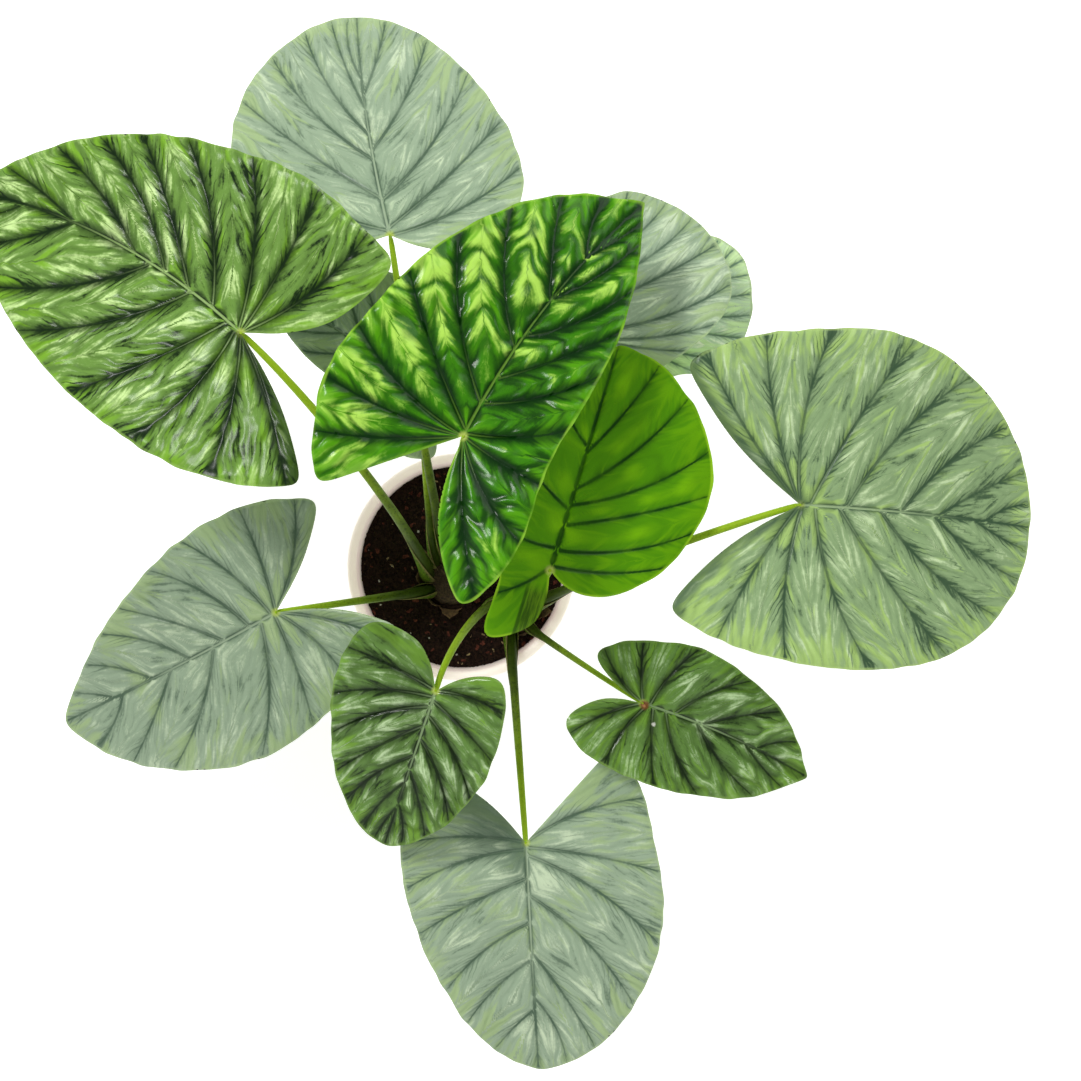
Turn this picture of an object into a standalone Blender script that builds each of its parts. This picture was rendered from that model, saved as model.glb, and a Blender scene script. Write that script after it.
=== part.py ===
"""Potted alocasia: a round nursery pot, its potting mix, two short rhizomes and twelve leaves.

Each leaf is a heart-shaped blade on its own long stalk. The units are metres and +Z is up.
The origin is the centre of the pot's underside, which is flat and rests on a table or floor.
"""

import math
from collections import namedtuple

import bmesh
import bpy
from mathutils import Vector

MM = 0.001

# Space kept between pieces that touch.
GAP = 0.0003

# Pot, a tapered shell with a rolled rim.
POT_HEIGHT = 0.125
POT_RIM_RADIUS = 0.070
POT_BASE_RADIUS = 0.0525
POT_WALL = 0.0024
RIM_WIDTH = 0.0036
RIM_DEPTH = 0.009
POT_FLOOR = 0.003
EDGE_ROUND = 0.001
DRAIN_HOLES = 6
DRAIN_RADIUS = 0.0045
DRAIN_RING_RADIUS = 0.034
POT_SEGMENTS = 48

# Potting mix, from the pot's floor to a little below its rim.
MIX_BELOW_RIM = 0.013
MIX_MOUND = 0.002

# Rhizomes, each seated in a pocket of the mix with its top just above it.
RHIZOME_DEPTH = 0.026
RHIZOME_SHOW = 0.003
RHIZOME_SEGMENTS = 24
MAIN_CROWN = (-0.006, -0.008)
MAIN_RADIUS = 0.0195
OFFSET_CROWN = (0.033, -0.027)
OFFSET_RADIUS = 0.0155

# Leaf blades: thickness in the middle, and the rings and spokes of their surface.
BLADE_THICKNESS = 0.0012
BLADE_RINGS = (0.25, 0.50, 0.76, 1.0)
SPOKES_PER_SIDE = 13
FOLD_SOFTNESS = 0.008

# Leaf stalks: radius at the foot, above the sheath and at the blade.
STALK_FOOT_RADIUS = 0.0037
STALK_MID_RADIUS = 0.0027
STALK_TIP_RADIUS = 0.0018
STALK_SIDES = 8
STALK_SECTIONS = 10
SHEATH_SHARE = 0.3
STALK_UNDER_BLADE = 0.0040

# Where a side's reaches are given, as shares of the way from the blade's tip to its lobe.
STATIONS = (0.0, 0.10, 0.25, 0.45, 0.65, 0.85, 1.0)

# One side of a blade, in degrees and millimetres. spread is the bearing of the lobe's end from the
# tip, as seen from the stalk's joint. reaches are the margin's distances from the joint at the
# stations after the tip, and the last is the lobe's end. bow is how far the lobe's inner edge
# swells past a straight line.
Side = namedtuple("Side", "spread reaches bow")

# How a blade lies, in degrees and millimetres. pitch is its fall towards the tip, droop the extra
# fall at the tip, and lobes the fall at the lobes. fold_left and fold_right are the slopes of the
# two sides up from the midrib.
Form = namedtuple("Form", "pitch droop lobes fold_left fold_right")

# A leaf's joint is at (x, y) from the pot's axis and at a height above the mix, in millimetres.
# heading is the way its tip points, anticlockwise from +X. foot is where its stalk stands on its
# rhizome: the distance from the crown's centre, in millimetres, and the bearing. stout scales the
# stalk's radius, and sway bends the stalk sideways, in millimetres.
Leaf = namedtuple("Leaf", "joint heading length left right form crown foot stout sway")

LEAVES = (
    Leaf((-35, 186, 138), 100, 142,
         Side(76, (142, 136, 123, 106, 88, 72), 10), Side(100, (133, 115, 97, 86, 76, 62), 9),
         Form(20, 20, 6, 0.12, 0.12), "main", (15, 101), 1.0, 0),
    Leaf((-111, 127, 188), 152, 186,
         Side(141, (150, 112, 86, 79, 81, 90), 5), Side(130, (159, 127, 99, 89, 85, 91), 14),
         Form(12, 25, 4, 0.14, 0.14), "main", (15, 166), 1.1, -13),
    Leaf((9, 70, 228), 53, 159,
         Side(146, (140, 109, 83, 77, 76, 80), 0), Side(144, (111, 67, 48, 50, 69, 90), 12),
         Form(8, 22, 10, 0.16, 0.16), "main", (5, 0), 1.1, 0),
    Leaf((54, 0, 163), 73, 129,
         Side(152, (89, 49, 31, 27, 32, 53), 14), Side(100, (128, 119, 101, 73, 48, 34), 5),
         Form(-3, 4, 4, 0.65, -0.22), "offset", (0, 0), 1.35, 0),
    Leaf((74, 129, 138), 74, 91,
         Side(122, (80, 71, 63, 58, 53, 46), 6), Side(125, (92, 93, 86, 57, 40, 44), 4),
         Form(12, 10, 5, 0.10, 0.10), "main", (15, 68), 0.95, 0),
    Leaf((102, 135, 93), 35, 82,
         Side(130, (78, 66, 62, 50, 44, 46), 5), Side(125, (76, 68, 50, 33, 32, 34), 3),
         Form(8, 10, 3, 0.08, 0.08), "main", (15, 35), 0.9, 0),
    Leaf((192, 36, 148), -5, 141,
         Side(135, (137, 127, 112, 97, 96, 101), 6), Side(138, (139, 125, 99, 86, 87, 94), 6),
         Form(12, 28, 5, 0.12, 0.12), "offset", (11, 10), 1.05, 7),
    Leaf((108, -78, 88), -25, 110,
         Side(160, (89, 62, 45, 37, 38, 42), 3), Side(145, (88, 62, 46, 42, 45, 48), 7),
         Form(10, 14, 3, 0.10, 0.10), "offset", (11, -50), 0.8, 0),
    Leaf((40, -163, 58), -87, 147,
         Side(136, (138, 116, 91, 76, 76, 76), 0), Side(135, (129, 100, 80, 74, 72, 62), 3),
         Form(9, 20, -4, 0.10, 0.10), "offset", (11, -105), 1.0, 0),
    Leaf((-10, -68, 128), -109, 99,
         Side(121, (89, 71, 53, 43, 40, 39), 4), Side(121, (91, 76, 62, 57, 55, 54), 11),
         Form(16, 12, -2, 0.12, 0.12), "offset", (11, 150), 1.05, -9),
    Leaf((-107, -26, 68), -153, 152,
         Side(147, (133, 105, 80, 65, 67, 76), 6), Side(139, (119, 89, 71, 65, 66, 72), 4),
         Form(9, 18, -3, 0.10, 0.10), "main", (15, 205), 1.0, 0),
    Leaf((-23, 111, 68), 148, 108,
         Side(135, (81, 49, 44, 44, 46, 50), 4), Side(135, (103, 74, 55, 48, 48, 50), 4),
         Form(6, 10, 2, 0.08, 0.08), "main", (15, 133), 0.9, 0),
)

# Colour, roughness and metallic value of each finish.
Finish = namedtuple("Finish", "colour roughness metallic")
POT_FINISH = Finish((0.86, 0.84, 0.82), 0.45, 0.0)
MIX_FINISH = Finish((0.025, 0.012, 0.009), 0.95, 0.0)
RHIZOME_FINISH = Finish((0.12, 0.075, 0.035), 0.85, 0.0)
STALK_FINISH = Finish((0.10, 0.17, 0.02), 0.45, 0.0)
SILVER_BLADE = Finish((0.26, 0.38, 0.24), 0.45, 0.0)
GREEN_BLADE = Finish((0.09, 0.26, 0.03), 0.35, 0.0)
YOUNG_BLADE = Finish((0.16, 0.36, 0.01), 0.30, 0.0)
BLADE_FINISHES = {2: GREEN_BLADE, 3: GREEN_BLADE, 4: YOUNG_BLADE, 8: GREEN_BLADE, 10: GREEN_BLADE}

# Worked out from the sizes above.
RIM_INNER_RADIUS = POT_RIM_RADIUS - RIM_WIDTH - POT_WALL
BASE_INNER_RADIUS = POT_BASE_RADIUS - POT_WALL
MIX_TOP = POT_HEIGHT - MIX_BELOW_RIM
CROWN_TOP = MIX_TOP + MIX_MOUND + RHIZOME_SHOW
CROWNS = {"main": (MAIN_CROWN, MAIN_RADIUS), "offset": (OFFSET_CROWN, OFFSET_RADIUS)}


def clear_scene():
    """Removes every object, so that the script can be run again in an open file."""
    for old in list(bpy.data.objects):
        bpy.data.objects.remove(old, do_unlink=True)


def add_object(name, bm, finish=None, smooth=True):
    """Turns bm into a named object, with its own material unless it is a cutter."""
    mesh = bpy.data.meshes.new(name)
    bmesh.ops.recalc_face_normals(bm, faces=bm.faces)
    bm.to_mesh(mesh)
    bm.free()
    if smooth:
        mesh.shade_smooth()
        mesh.set_sharp_from_angle(angle=math.radians(40))
    piece = bpy.data.objects.new(name, mesh)
    bpy.context.scene.collection.objects.link(piece)
    if finish is not None:
        mesh.materials.append(make_material(name, finish))
    return piece


def make_material(name, finish):
    material = bpy.data.materials.new(name)
    material.use_nodes = True
    shader = material.node_tree.nodes["Principled BSDF"]
    shader.inputs["Base Color"].default_value = (*finish.colour, 1.0)
    shader.inputs["Roughness"].default_value = finish.roughness
    shader.inputs["Metallic"].default_value = finish.metallic
    return material


def turned(profile, segments):
    """A solid of revolution about Z. profile is (radius, z) from the axis round to the axis."""
    bm = bmesh.new()
    rings = []
    for radius, z in profile:
        if radius == 0.0:
            rings.append([bm.verts.new((0.0, 0.0, z))] * segments)
            continue
        angles = (math.tau * i / segments for i in range(segments))
        rings.append([bm.verts.new((radius * math.cos(a), radius * math.sin(a), z)) for a in angles])
    for lower, upper in zip(rings, rings[1:]):
        for i in range(segments):
            k = (i + 1) % segments
            corners = list(dict.fromkeys((lower[i], lower[k], upper[k], upper[i])))
            bm.faces.new(corners)
    return bm


def cut_away(piece, cutter):
    """Cuts the cutter's shape out of the piece and keeps the cutter as a wire guide."""
    cutter.hide_render = True
    cutter.display_type = "WIRE"
    cut = piece.modifiers.new("cut_" + cutter.name, "BOOLEAN")
    cut.operation = "DIFFERENCE"
    cut.solver = "EXACT"
    cut.object = cutter


def inner_radius(z):
    """The pot's inside radius at height z, along its tapered wall."""
    share = z / POT_HEIGHT
    return BASE_INNER_RADIUS + (RIM_INNER_RADIUS - BASE_INNER_RADIUS) * share


def outer_radius(z):
    return inner_radius(z) + POT_WALL


def build_pot():
    rim_bottom = POT_HEIGHT - RIM_DEPTH
    profile = [
        (0.0, 0.0),
        (outer_radius(0.0) - EDGE_ROUND, 0.0),
        (outer_radius(EDGE_ROUND), EDGE_ROUND),
        (outer_radius(rim_bottom), rim_bottom),
        (POT_RIM_RADIUS - EDGE_ROUND, rim_bottom),
        (POT_RIM_RADIUS, rim_bottom + EDGE_ROUND),
        (POT_RIM_RADIUS, POT_HEIGHT - EDGE_ROUND),
        (POT_RIM_RADIUS - EDGE_ROUND, POT_HEIGHT),
        (inner_radius(POT_HEIGHT) + EDGE_ROUND, POT_HEIGHT),
        (inner_radius(POT_HEIGHT - EDGE_ROUND), POT_HEIGHT - EDGE_ROUND),
        (inner_radius(POT_FLOOR), POT_FLOOR),
        (0.0, POT_FLOOR),
    ]
    pot = add_object("pot", turned(profile, POT_SEGMENTS), POT_FINISH)
    for i in range(DRAIN_HOLES):
        bearing = math.tau * (i / DRAIN_HOLES + 0.5 / POT_SEGMENTS)
        bm = bmesh.new()
        bmesh.ops.create_cone(bm, cap_ends=True, segments=12, radius1=DRAIN_RADIUS,
                              radius2=DRAIN_RADIUS, depth=4 * POT_FLOOR)
        hole = add_object(f"drain_cutter_{i + 1}", bm, smooth=False)
        hole.location = Vector((math.cos(bearing), math.sin(bearing), 0.0)) * DRAIN_RING_RADIUS
        cut_away(pot, hole)


def rhizome_profile(radius, grow, top):
    """A stub with a rounded underside. grow swells it all over, for the pocket that it sits in."""
    bottom = MIX_TOP - RHIZOME_DEPTH
    return [
        (0.0, bottom - grow),
        (0.55 * radius + grow, bottom - grow),
        (0.88 * radius + grow, bottom + 0.25 * RHIZOME_DEPTH),
        (radius + grow, bottom + 0.6 * RHIZOME_DEPTH),
        (radius + grow, top),
        (0.0, top),
    ]


def build_rhizome(crown):
    (x, y), radius = CROWNS[crown]
    profile = rhizome_profile(radius, 0.0, CROWN_TOP)
    piece = add_object("rhizome_" + crown, turned(profile, RHIZOME_SEGMENTS), RHIZOME_FINISH)
    piece.location = (x, y, 0.0)


def build_mix():
    bottom = POT_FLOOR + GAP
    profile = [
        (0.0, bottom),
        (inner_radius(bottom) - GAP, bottom),
        (inner_radius(MIX_TOP) - GAP, MIX_TOP),
        (0.6 * inner_radius(MIX_TOP), MIX_TOP + MIX_MOUND),
        (0.0, MIX_TOP + MIX_MOUND),
    ]
    mix = add_object("potting_mix", turned(profile, POT_SEGMENTS), MIX_FINISH)
    for crown, ((x, y), radius) in CROWNS.items():
        shape = rhizome_profile(radius, GAP, CROWN_TOP + RHIZOME_SHOW)
        pocket = add_object(f"pocket_cutter_{crown}", turned(shape, RHIZOME_SEGMENTS), smooth=False)
        pocket.location = (x, y, 0.0)
        cut_away(mix, pocket)


def joint_of(leaf):
    """The point where a leaf's stalk meets its blade."""
    x, y, height = leaf.joint
    return Vector((x * MM, y * MM, MIX_TOP + height * MM))


def reach(leaf, side, share):
    """The margin's distance from the joint, on a smooth curve through the side's reaches."""
    values = (leaf.length, *side.reaches)
    i = max(k for k in range(len(STATIONS) - 1) if STATIONS[k] <= share or k == 0)
    a, b = STATIONS[i], STATIONS[i + 1]
    chord = (values[i + 1] - values[i]) / (b - a)
    before = after = chord
    if i > 0:
        before = (values[i + 1] - values[i - 1]) / (b - STATIONS[i - 1])
    if i + 2 < len(STATIONS):
        after = (values[i + 2] - values[i]) / (STATIONS[i + 2] - a)
    s = (share - a) / (b - a)
    curve = (2 * s ** 3 - 3 * s ** 2 + 1) * values[i] + (3 * s ** 2 - 2 * s ** 3) * values[i + 1]
    curve += (b - a) * ((s ** 3 - 2 * s ** 2 + s) * before + (s ** 3 - s ** 2) * after)
    return curve * MM


def blade_height(leaf, forward, left):
    """How far a blade's middle surface lies above its joint."""
    form = leaf.form
    length = leaf.length * MM
    rise = -math.tan(math.radians(form.pitch)) * forward
    rise -= form.droop * MM * (max(forward, 0.0) / length) ** 2
    rise -= form.lobes * MM * (max(-forward, 0.0) / (0.5 * length)) ** 2
    slope = form.fold_left if left > 0.0 else form.fold_right
    return rise + slope * (math.hypot(left, FOLD_SOFTNESS) - FOLD_SOFTNESS)


def blade_point(leaf, share, ring):
    """A point of the blade's middle surface, in world space.

    share runs from -1 at the right lobe through 0 at the tip to 1 at the left lobe, and ring from
    0 at the joint to 1 at the margin.
    """
    side = leaf.left if share > 0.0 else leaf.right
    hand = 1.0 if share > 0.0 else -1.0
    bearing = math.radians(side.spread) * abs(share)
    distance = reach(leaf, side, abs(share)) * ring
    swell = side.bow * MM * max(0.0, (abs(share) - 0.5) / 0.5) ** 2 * math.sin(math.pi * ring)
    forward = distance * math.cos(bearing) - swell * math.sin(bearing)
    left = hand * (distance * math.sin(bearing) + swell * math.cos(bearing))
    heading = math.radians(leaf.heading)
    ahead = Vector((math.cos(heading), math.sin(heading), 0.0))
    across = Vector((-math.sin(heading), math.cos(heading), 0.0))
    up = Vector((0.0, 0.0, blade_height(leaf, forward, left)))
    return joint_of(leaf) + ahead * forward + across * left + up


def build_blade(number, leaf):
    """A thin shell, thickest in the middle, whose two sheets meet all along the margin."""
    bm = bmesh.new()
    joint = bm.verts.new(joint_of(leaf))
    half = Vector((0.0, 0.0, 0.5 * BLADE_THICKNESS))
    top, bottom = [], []
    for j in range(-SPOKES_PER_SIDE, SPOKES_PER_SIDE + 1):
        upper, lower = [joint], [joint]
        for ring in BLADE_RINGS:
            point = blade_point(leaf, j / SPOKES_PER_SIDE, ring)
            if ring == 1.0 or abs(j) == SPOKES_PER_SIDE:
                upper.append(bm.verts.new(point))
                lower.append(upper[-1])
            else:
                upper.append(bm.verts.new(point + half))
                lower.append(bm.verts.new(point - half))
        top.append(upper)
        bottom.append(lower)
    for sheet, turn in ((top, 1), (bottom, -1)):
        for strip, (one, other) in enumerate(zip(sheet, sheet[1:])):
            bm.faces.new((one[0], one[1], other[1])[::turn])
            for i in range(1, len(BLADE_RINGS)):
                quad = (one[i], one[i + 1], other[i + 1], other[i])
                if strip < SPOKES_PER_SIDE:
                    quad = quad[1:] + quad[:1]
                bm.faces.new(quad[:3][::turn])
                bm.faces.new((quad[2], quad[3], quad[0])[::turn])
    finish = BLADE_FINISHES.get(number, SILVER_BLADE)
    add_object(f"leaf_blade_{number:02d}", bm, finish)


def stalk_path(leaf):
    """Points up a stalk, from its foot on the rhizome to just under the blade's joint."""
    (x, y), _ = CROWNS[leaf.crown]
    ring, bearing = leaf.foot[0] * MM, math.radians(leaf.foot[1])
    foot = Vector((x + ring * math.cos(bearing), y + ring * math.sin(bearing), CROWN_TOP + GAP))
    end = joint_of(leaf) - Vector((0.0, 0.0, STALK_UNDER_BLADE))
    flat = Vector((end.x - foot.x, end.y - foot.y, 0.0))
    rise = end.z - foot.z
    across = Vector((-flat.y, flat.x, 0.0)).normalized() * leaf.sway * MM
    low = foot + flat * 0.10 + Vector((0.0, 0.0, 0.62 * rise)) + across
    high = foot + flat * 0.62 + Vector((0.0, 0.0, 0.98 * rise)) + across
    points = []
    for k in range(STALK_SECTIONS):
        s = k / (STALK_SECTIONS - 1)
        r = 1.0 - s
        points.append(foot * r ** 3 + low * 3 * s * r ** 2 + high * 3 * s ** 2 * r + end * s ** 3)
    return points


def stalk_radius(leaf, share):
    """The stalk's radius a share of the way up it, wider where it sheathes the younger stalks."""
    if share < SHEATH_SHARE:
        low, high, s = STALK_FOOT_RADIUS, STALK_MID_RADIUS, share / SHEATH_SHARE
    else:
        low, high = STALK_MID_RADIUS, STALK_TIP_RADIUS
        s = (share - SHEATH_SHARE) / (1.0 - SHEATH_SHARE)
    return leaf.stout * (low + (high - low) * s)


def build_stalk(number, leaf):
    points = stalk_path(leaf)
    last = len(points) - 1
    side = Vector((1.0, 0.0, 0.0))
    bm = bmesh.new()
    rings = []
    for k, point in enumerate(points):
        along = points[min(k + 1, last)] - points[max(k - 1, 0)]
        if k == 0:
            along = Vector((0.0, 0.0, 1.0))
        along.normalize()
        side = (side - along * side.dot(along)).normalized()
        other = along.cross(side)
        radius = stalk_radius(leaf, k / last)
        angles = (math.tau * i / STALK_SIDES for i in range(STALK_SIDES))
        rings.append([bm.verts.new(point + (side * math.cos(a) + other * math.sin(a)) * radius)
                      for a in angles])
    for lower, upper in zip(rings, rings[1:]):
        for i in range(STALK_SIDES):
            k = (i + 1) % STALK_SIDES
            bm.faces.new((lower[i], lower[k], upper[k], upper[i]))
    bm.faces.new(rings[0])
    bm.faces.new(rings[-1])
    add_object(f"leaf_stalk_{number:02d}", bm, STALK_FINISH)


def main():
    clear_scene()
    build_pot()
    build_mix()
    for crown in CROWNS:
        build_rhizome(crown)
    for number, leaf in enumerate(LEAVES, start=1):
        build_stalk(number, leaf)
        build_blade(number, leaf)


main()
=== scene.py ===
"""Finished look of the potted alocasia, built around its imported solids.

Each leaf blade, stalk, rhizome, the potting mix and the pot is made again as a fine surface on the
shape and place that the frame gives, with its own node-based material. Run it as a script, or read
it as an add-on: each group of pieces has an operator, and their sizes and colours are properties.
"""

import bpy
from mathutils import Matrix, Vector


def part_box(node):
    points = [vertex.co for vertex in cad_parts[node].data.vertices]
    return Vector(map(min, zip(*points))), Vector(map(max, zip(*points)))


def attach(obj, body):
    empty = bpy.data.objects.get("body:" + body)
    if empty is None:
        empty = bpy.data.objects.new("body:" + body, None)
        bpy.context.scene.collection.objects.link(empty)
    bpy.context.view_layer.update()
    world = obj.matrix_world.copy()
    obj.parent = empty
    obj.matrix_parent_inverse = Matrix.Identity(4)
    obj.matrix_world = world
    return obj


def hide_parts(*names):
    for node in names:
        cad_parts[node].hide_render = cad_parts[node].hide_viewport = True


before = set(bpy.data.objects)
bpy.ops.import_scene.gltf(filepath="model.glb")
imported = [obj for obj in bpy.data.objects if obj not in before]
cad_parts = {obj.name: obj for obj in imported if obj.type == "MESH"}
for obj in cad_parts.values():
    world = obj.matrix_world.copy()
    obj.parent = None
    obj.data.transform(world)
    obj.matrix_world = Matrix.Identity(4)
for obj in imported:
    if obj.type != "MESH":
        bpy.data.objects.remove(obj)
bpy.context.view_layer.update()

import math
from collections import namedtuple

import bmesh
import bpy
import numpy as np
from bpy.props import FloatProperty, FloatVectorProperty, IntProperty, PointerProperty
from mathutils import Vector, noise

bl_info = {
    "name": "Potted Alocasia",
    "version": (1, 0, 0),
    "blender": (4, 5, 0),
    "location": "3D View > Sidebar > Alocasia",
    "description": "Builds the leaves, stalks, mix and pot of a potted alocasia around its solids",
    "category": "Add Mesh",
}

MM = 0.001
LEAF_NUMBERS = range(1, 13)

# How the solids are laid out: steps of a blade's outline from the joint to a lobe's corner, how
# close points of one level lie, the top of the pot's floor, and the ring its drain holes are in.
LOBE_STEP = 4
FLAT_TOLERANCE = 1e-5
POT_FLOOR = 3 * MM
DRAIN_RING = (26 * MM, 42 * MM)
DRAIN_REACH = 11 * MM

# Points in the fine lines that a blade's outline is read into: along each side, along each edge of
# the notch, and along a side and its notch edge together.
SIDE_POINTS = 200
NOTCH_POINTS = 60
ROUNDED_POINTS = 420

# Points along the midrib and along each side vein, and a distance beyond any in a blade.
MIDRIB_POINTS, VEIN_POINTS = 40, 22
FAR = 1e9

# Points along and across a leaf sheath, and along and across a dry scale.
SHEATH_ROWS, SHEATH_ACROSS = 26, 17
HUSK_ROWS, HUSK_ACROSS = 12, 9

# A leaf's look, and then how far its tone, quilting and sheath differ from the usual, how far its
# midrib bows to the left as a share of its length, and how far its tip is rounded. Last come the
# side veins on its right and on its left. Each leaves the midrib at a share of its length, and
# meets the margin at a share of the way from the tip to the lobe's end.
Leaf = namedtuple("Leaf", "look tone quilt sheath bow tip right left")
USUAL_RIGHT = ((0.76, 0.06), (0.56, 0.14), (0.38, 0.25), (0.21, 0.38), (0.04, 0.54), (0.0, 0.70),
               (0.0, 0.84), (0.0, 0.96))
USUAL_LEFT = ((0.70, 0.08), (0.50, 0.18), (0.33, 0.29), (0.16, 0.42), (0.02, 0.57), (0.0, 0.72),
              (0.0, 0.85), (0.0, 0.97))
LEAVES = {
    1: Leaf("silver", 1.07, 1.0, 1.0, 0.02, 9 * MM,
            ((0.62, 0.10), (0.37, 0.27), (0.15, 0.47), (0.03, 0.68), (0.0, 0.86)),
            ((0.70, 0.04), (0.56, 0.10), (0.44, 0.21), (0.33, 0.37), (0.16, 0.58), (0.02, 0.79))),
    2: Leaf("streaked", 1.0, 1.0, 1.15, -0.065, 4 * MM,
            ((0.62, 0.10), (0.40, 0.22), (0.29, 0.32), (0.20, 0.41), (0.11, 0.51), (0.01, 0.65),
             (0.0, 0.80), (0.0, 0.93)),
            ((0.80, 0.05), (0.62, 0.12), (0.34, 0.22), (0.19, 0.33), (0.05, 0.50), (0.02, 0.66),
             (0.0, 0.83), (0.0, 0.98))),
    3: Leaf("bright", 1.0, 1.0, 1.1, 0.045, 1.5 * MM,
            ((0.74, 0.04), (0.54, 0.09), (0.38, 0.20), (0.21, 0.30), (0.12, 0.41), (0.01, 0.55),
             (0.0, 0.68), (0.0, 0.81), (0.0, 0.96)),
            ((0.72, 0.08), (0.53, 0.17), (0.33, 0.28), (0.12, 0.40), (0.02, 0.53), (0.0, 0.68),
             (0.0, 0.80), (0.0, 0.91))),
    4: Leaf("young", 1.0, 1.0, 1.9, 0.0, 5 * MM,
            ((0.52, 0.14), (0.36, 0.28), (0.29, 0.46), (0.20, 0.60), (0.09, 0.73), (0.02, 0.87)),
            ((0.55, 0.22), (0.27, 0.45), (0.10, 0.66), (0.02, 0.85))),
    5: Leaf("silver", 1.06, 1.0, 1.0, 0.0, 6 * MM, USUAL_RIGHT, USUAL_LEFT),
    # Leaf 6's tone is raised as painted light, making up for the shadow that the leaves above it
    # cast.
    6: Leaf("silver", 1.75, 0.9, 0.9, 0.02, 6 * MM, USUAL_LEFT, USUAL_RIGHT),
    7: Leaf("pale", 1.1, 1.0, 1.0, 0.01, 12 * MM,
            ((0.74, 0.05), (0.56, 0.12), (0.33, 0.22), (0.16, 0.37), (0.06, 0.55), (0.01, 0.74),
             (0.0, 0.89)),
            ((0.79, 0.05), (0.58, 0.12), (0.42, 0.23), (0.19, 0.37), (0.04, 0.52), (0.0, 0.70),
             (0.0, 0.84), (0.0, 0.97))),
    8: Leaf("deep", 1.18, 0.9, 0.9, 0.03, 2 * MM,
            ((0.60, 0.10), (0.31, 0.22), (0.13, 0.43), (0.06, 0.60), (0.03, 0.80), (0.0, 0.97)),
            ((0.67, 0.13), (0.34, 0.26), (0.18, 0.42), (0.04, 0.64), (0.0, 0.84), (0.0, 0.98))),
    9: Leaf("silver", 1.0, 1.1, 1.0, 0.0, 9 * MM,
            ((0.72, 0.14), (0.50, 0.26), (0.34, 0.38), (0.15, 0.57), (0.03, 0.71), (0.0, 0.84)),
            ((0.67, 0.08), (0.47, 0.17), (0.22, 0.34), (0.05, 0.53), (0.02, 0.73), (0.0, 0.93))),
    10: Leaf("deep", 1.08, 1.3, 1.1, 0.0, 7 * MM,
             ((0.74, 0.05), (0.58, 0.12), (0.41, 0.26), (0.22, 0.40), (0.10, 0.57), (0.04, 0.74),
              (0.0, 0.94)),
             ((0.72, 0.08), (0.50, 0.20), (0.30, 0.34), (0.15, 0.49), (0.06, 0.70), (0.0, 0.92))),
    11: Leaf("silver", 0.88, 1.0, 1.0, 0.01, 9 * MM,
             ((0.76, 0.08), (0.58, 0.17), (0.40, 0.27), (0.24, 0.36), (0.12, 0.50), (0.02, 0.62),
              (0.0, 0.80), (0.0, 0.95)),
             ((0.72, 0.10), (0.49, 0.20), (0.29, 0.31), (0.07, 0.54), (0.01, 0.69), (0.0, 0.82),
              (0.0, 0.97))),
    # Leaf 12's tone is lowered as painted shade, for the shade it lies in under leaves 2 and 3.
    12: Leaf("silver", 0.72, 0.8, 0.9, 0.0, 6 * MM, USUAL_RIGHT, USUAL_LEFT),
}

# Lobes that turn down along the notch and get a band of painted shade there: the width of that
# band on the right and on the left lobe.
NOTCH_SHADE = {2: (0.0, 10 * MM), 7: (8 * MM, 8 * MM), 9: (30 * MM, 0.0)}

CROWNS = {"rhizome_main": 9, "rhizome_offset": 7}

# The area lights: name, place, width and power. All of them face the middle of the plant.
PLANT_MIDDLE = (0.0, 0.0, 0.2)
LIGHTS = (("key", (-1.5, 1.6, 3.5), 0.8, 84.0), ("back", (2.0, 2.4, 2.8), 2.4, 56.0),
          ("left", (-2.9, -1.2, 1.7), 3.4, 32.0), ("front", (0.8, -3.0, 1.7), 3.4, 30.0))


# ---------------------------------------------------------------- settings

def colour(name, default, description):
    """A colour property, in linear red, green and blue."""
    return FloatVectorProperty(name=name, description=description, default=default,
                               size=3, min=0.0, max=1.0, subtype="COLOR")


def length(name, default, description):
    """A size property, in metres."""
    return FloatProperty(name=name, description=description, default=default,
                         min=0.0, unit="LENGTH")


def share(name, default, description, most=1.0):
    """A property that says how much of something there is."""
    return FloatProperty(name=name, description=description, default=default,
                         min=0.0, max=most, subtype="FACTOR")


def paint(red, green, blue):
    """Linear colour from the 0 to 255 values of a paint chart."""
    return tuple(((v / 255 + 0.055) / 1.055) ** 2.4 for v in (red, green, blue))


def look_group(name, colours, relief, finish):
    """A property group for one finish of leaf blade. colours are its paints, relief its quilting
    and the height, the spacing and the slant of its folds, the height also setting how strongly
    the folds get painted highlight and painted shade, and finish its streaks, mottling, shade
    beside the veins, gloss and how much painted highlight its outer left half gets."""
    pale, mid, dark, accent, rim = (paint(*values) for values in colours)
    quilt, folds, spacing, slant = relief
    streaks, mottle, halo, gloss, bleach = finish
    fields = {
        "pale": colour("Pale", pale, "Colour of the crests between the veins"),
        "mid": colour("Middle", mid, "Colour of most of the upper side"),
        "dark": colour("Dark", dark, "Colour of the veins and of the hollows beside them"),
        "accent": colour("Accent", accent, "Colour of the leafier patches"),
        "rim": colour("Rim", rim, "Colour of the narrow band along the margin"),
        "quilt": length("Quilting", quilt, "How far the surface swells between the veins"),
        "folds": length("Folds", folds, "Height of the folds that run out from the veins"),
        "spacing": length("Fold spacing", spacing, "Distance from one fold to the next"),
        "slant": share("Slant", slant, "How far a fold runs along its vein for each step away",
                       5.0),
        "streaks": share("Streaks", streaks, "How strongly the hollows of the folds are coloured"),
        "mottle": share("Mottling", mottle, "How much the colour varies between the veins"),
        "halo": share("Vein shade", halo, "How strongly the surface is shaded beside the veins"),
        "gloss": share("Gloss", gloss, "How waxy and shiny the upper side is"),
        "bleach": share("Highlight", bleach, "How much paler the outer left half is than the rest"),
    }
    return type(name, (bpy.types.PropertyGroup,), {"__annotations__": fields})


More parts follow.
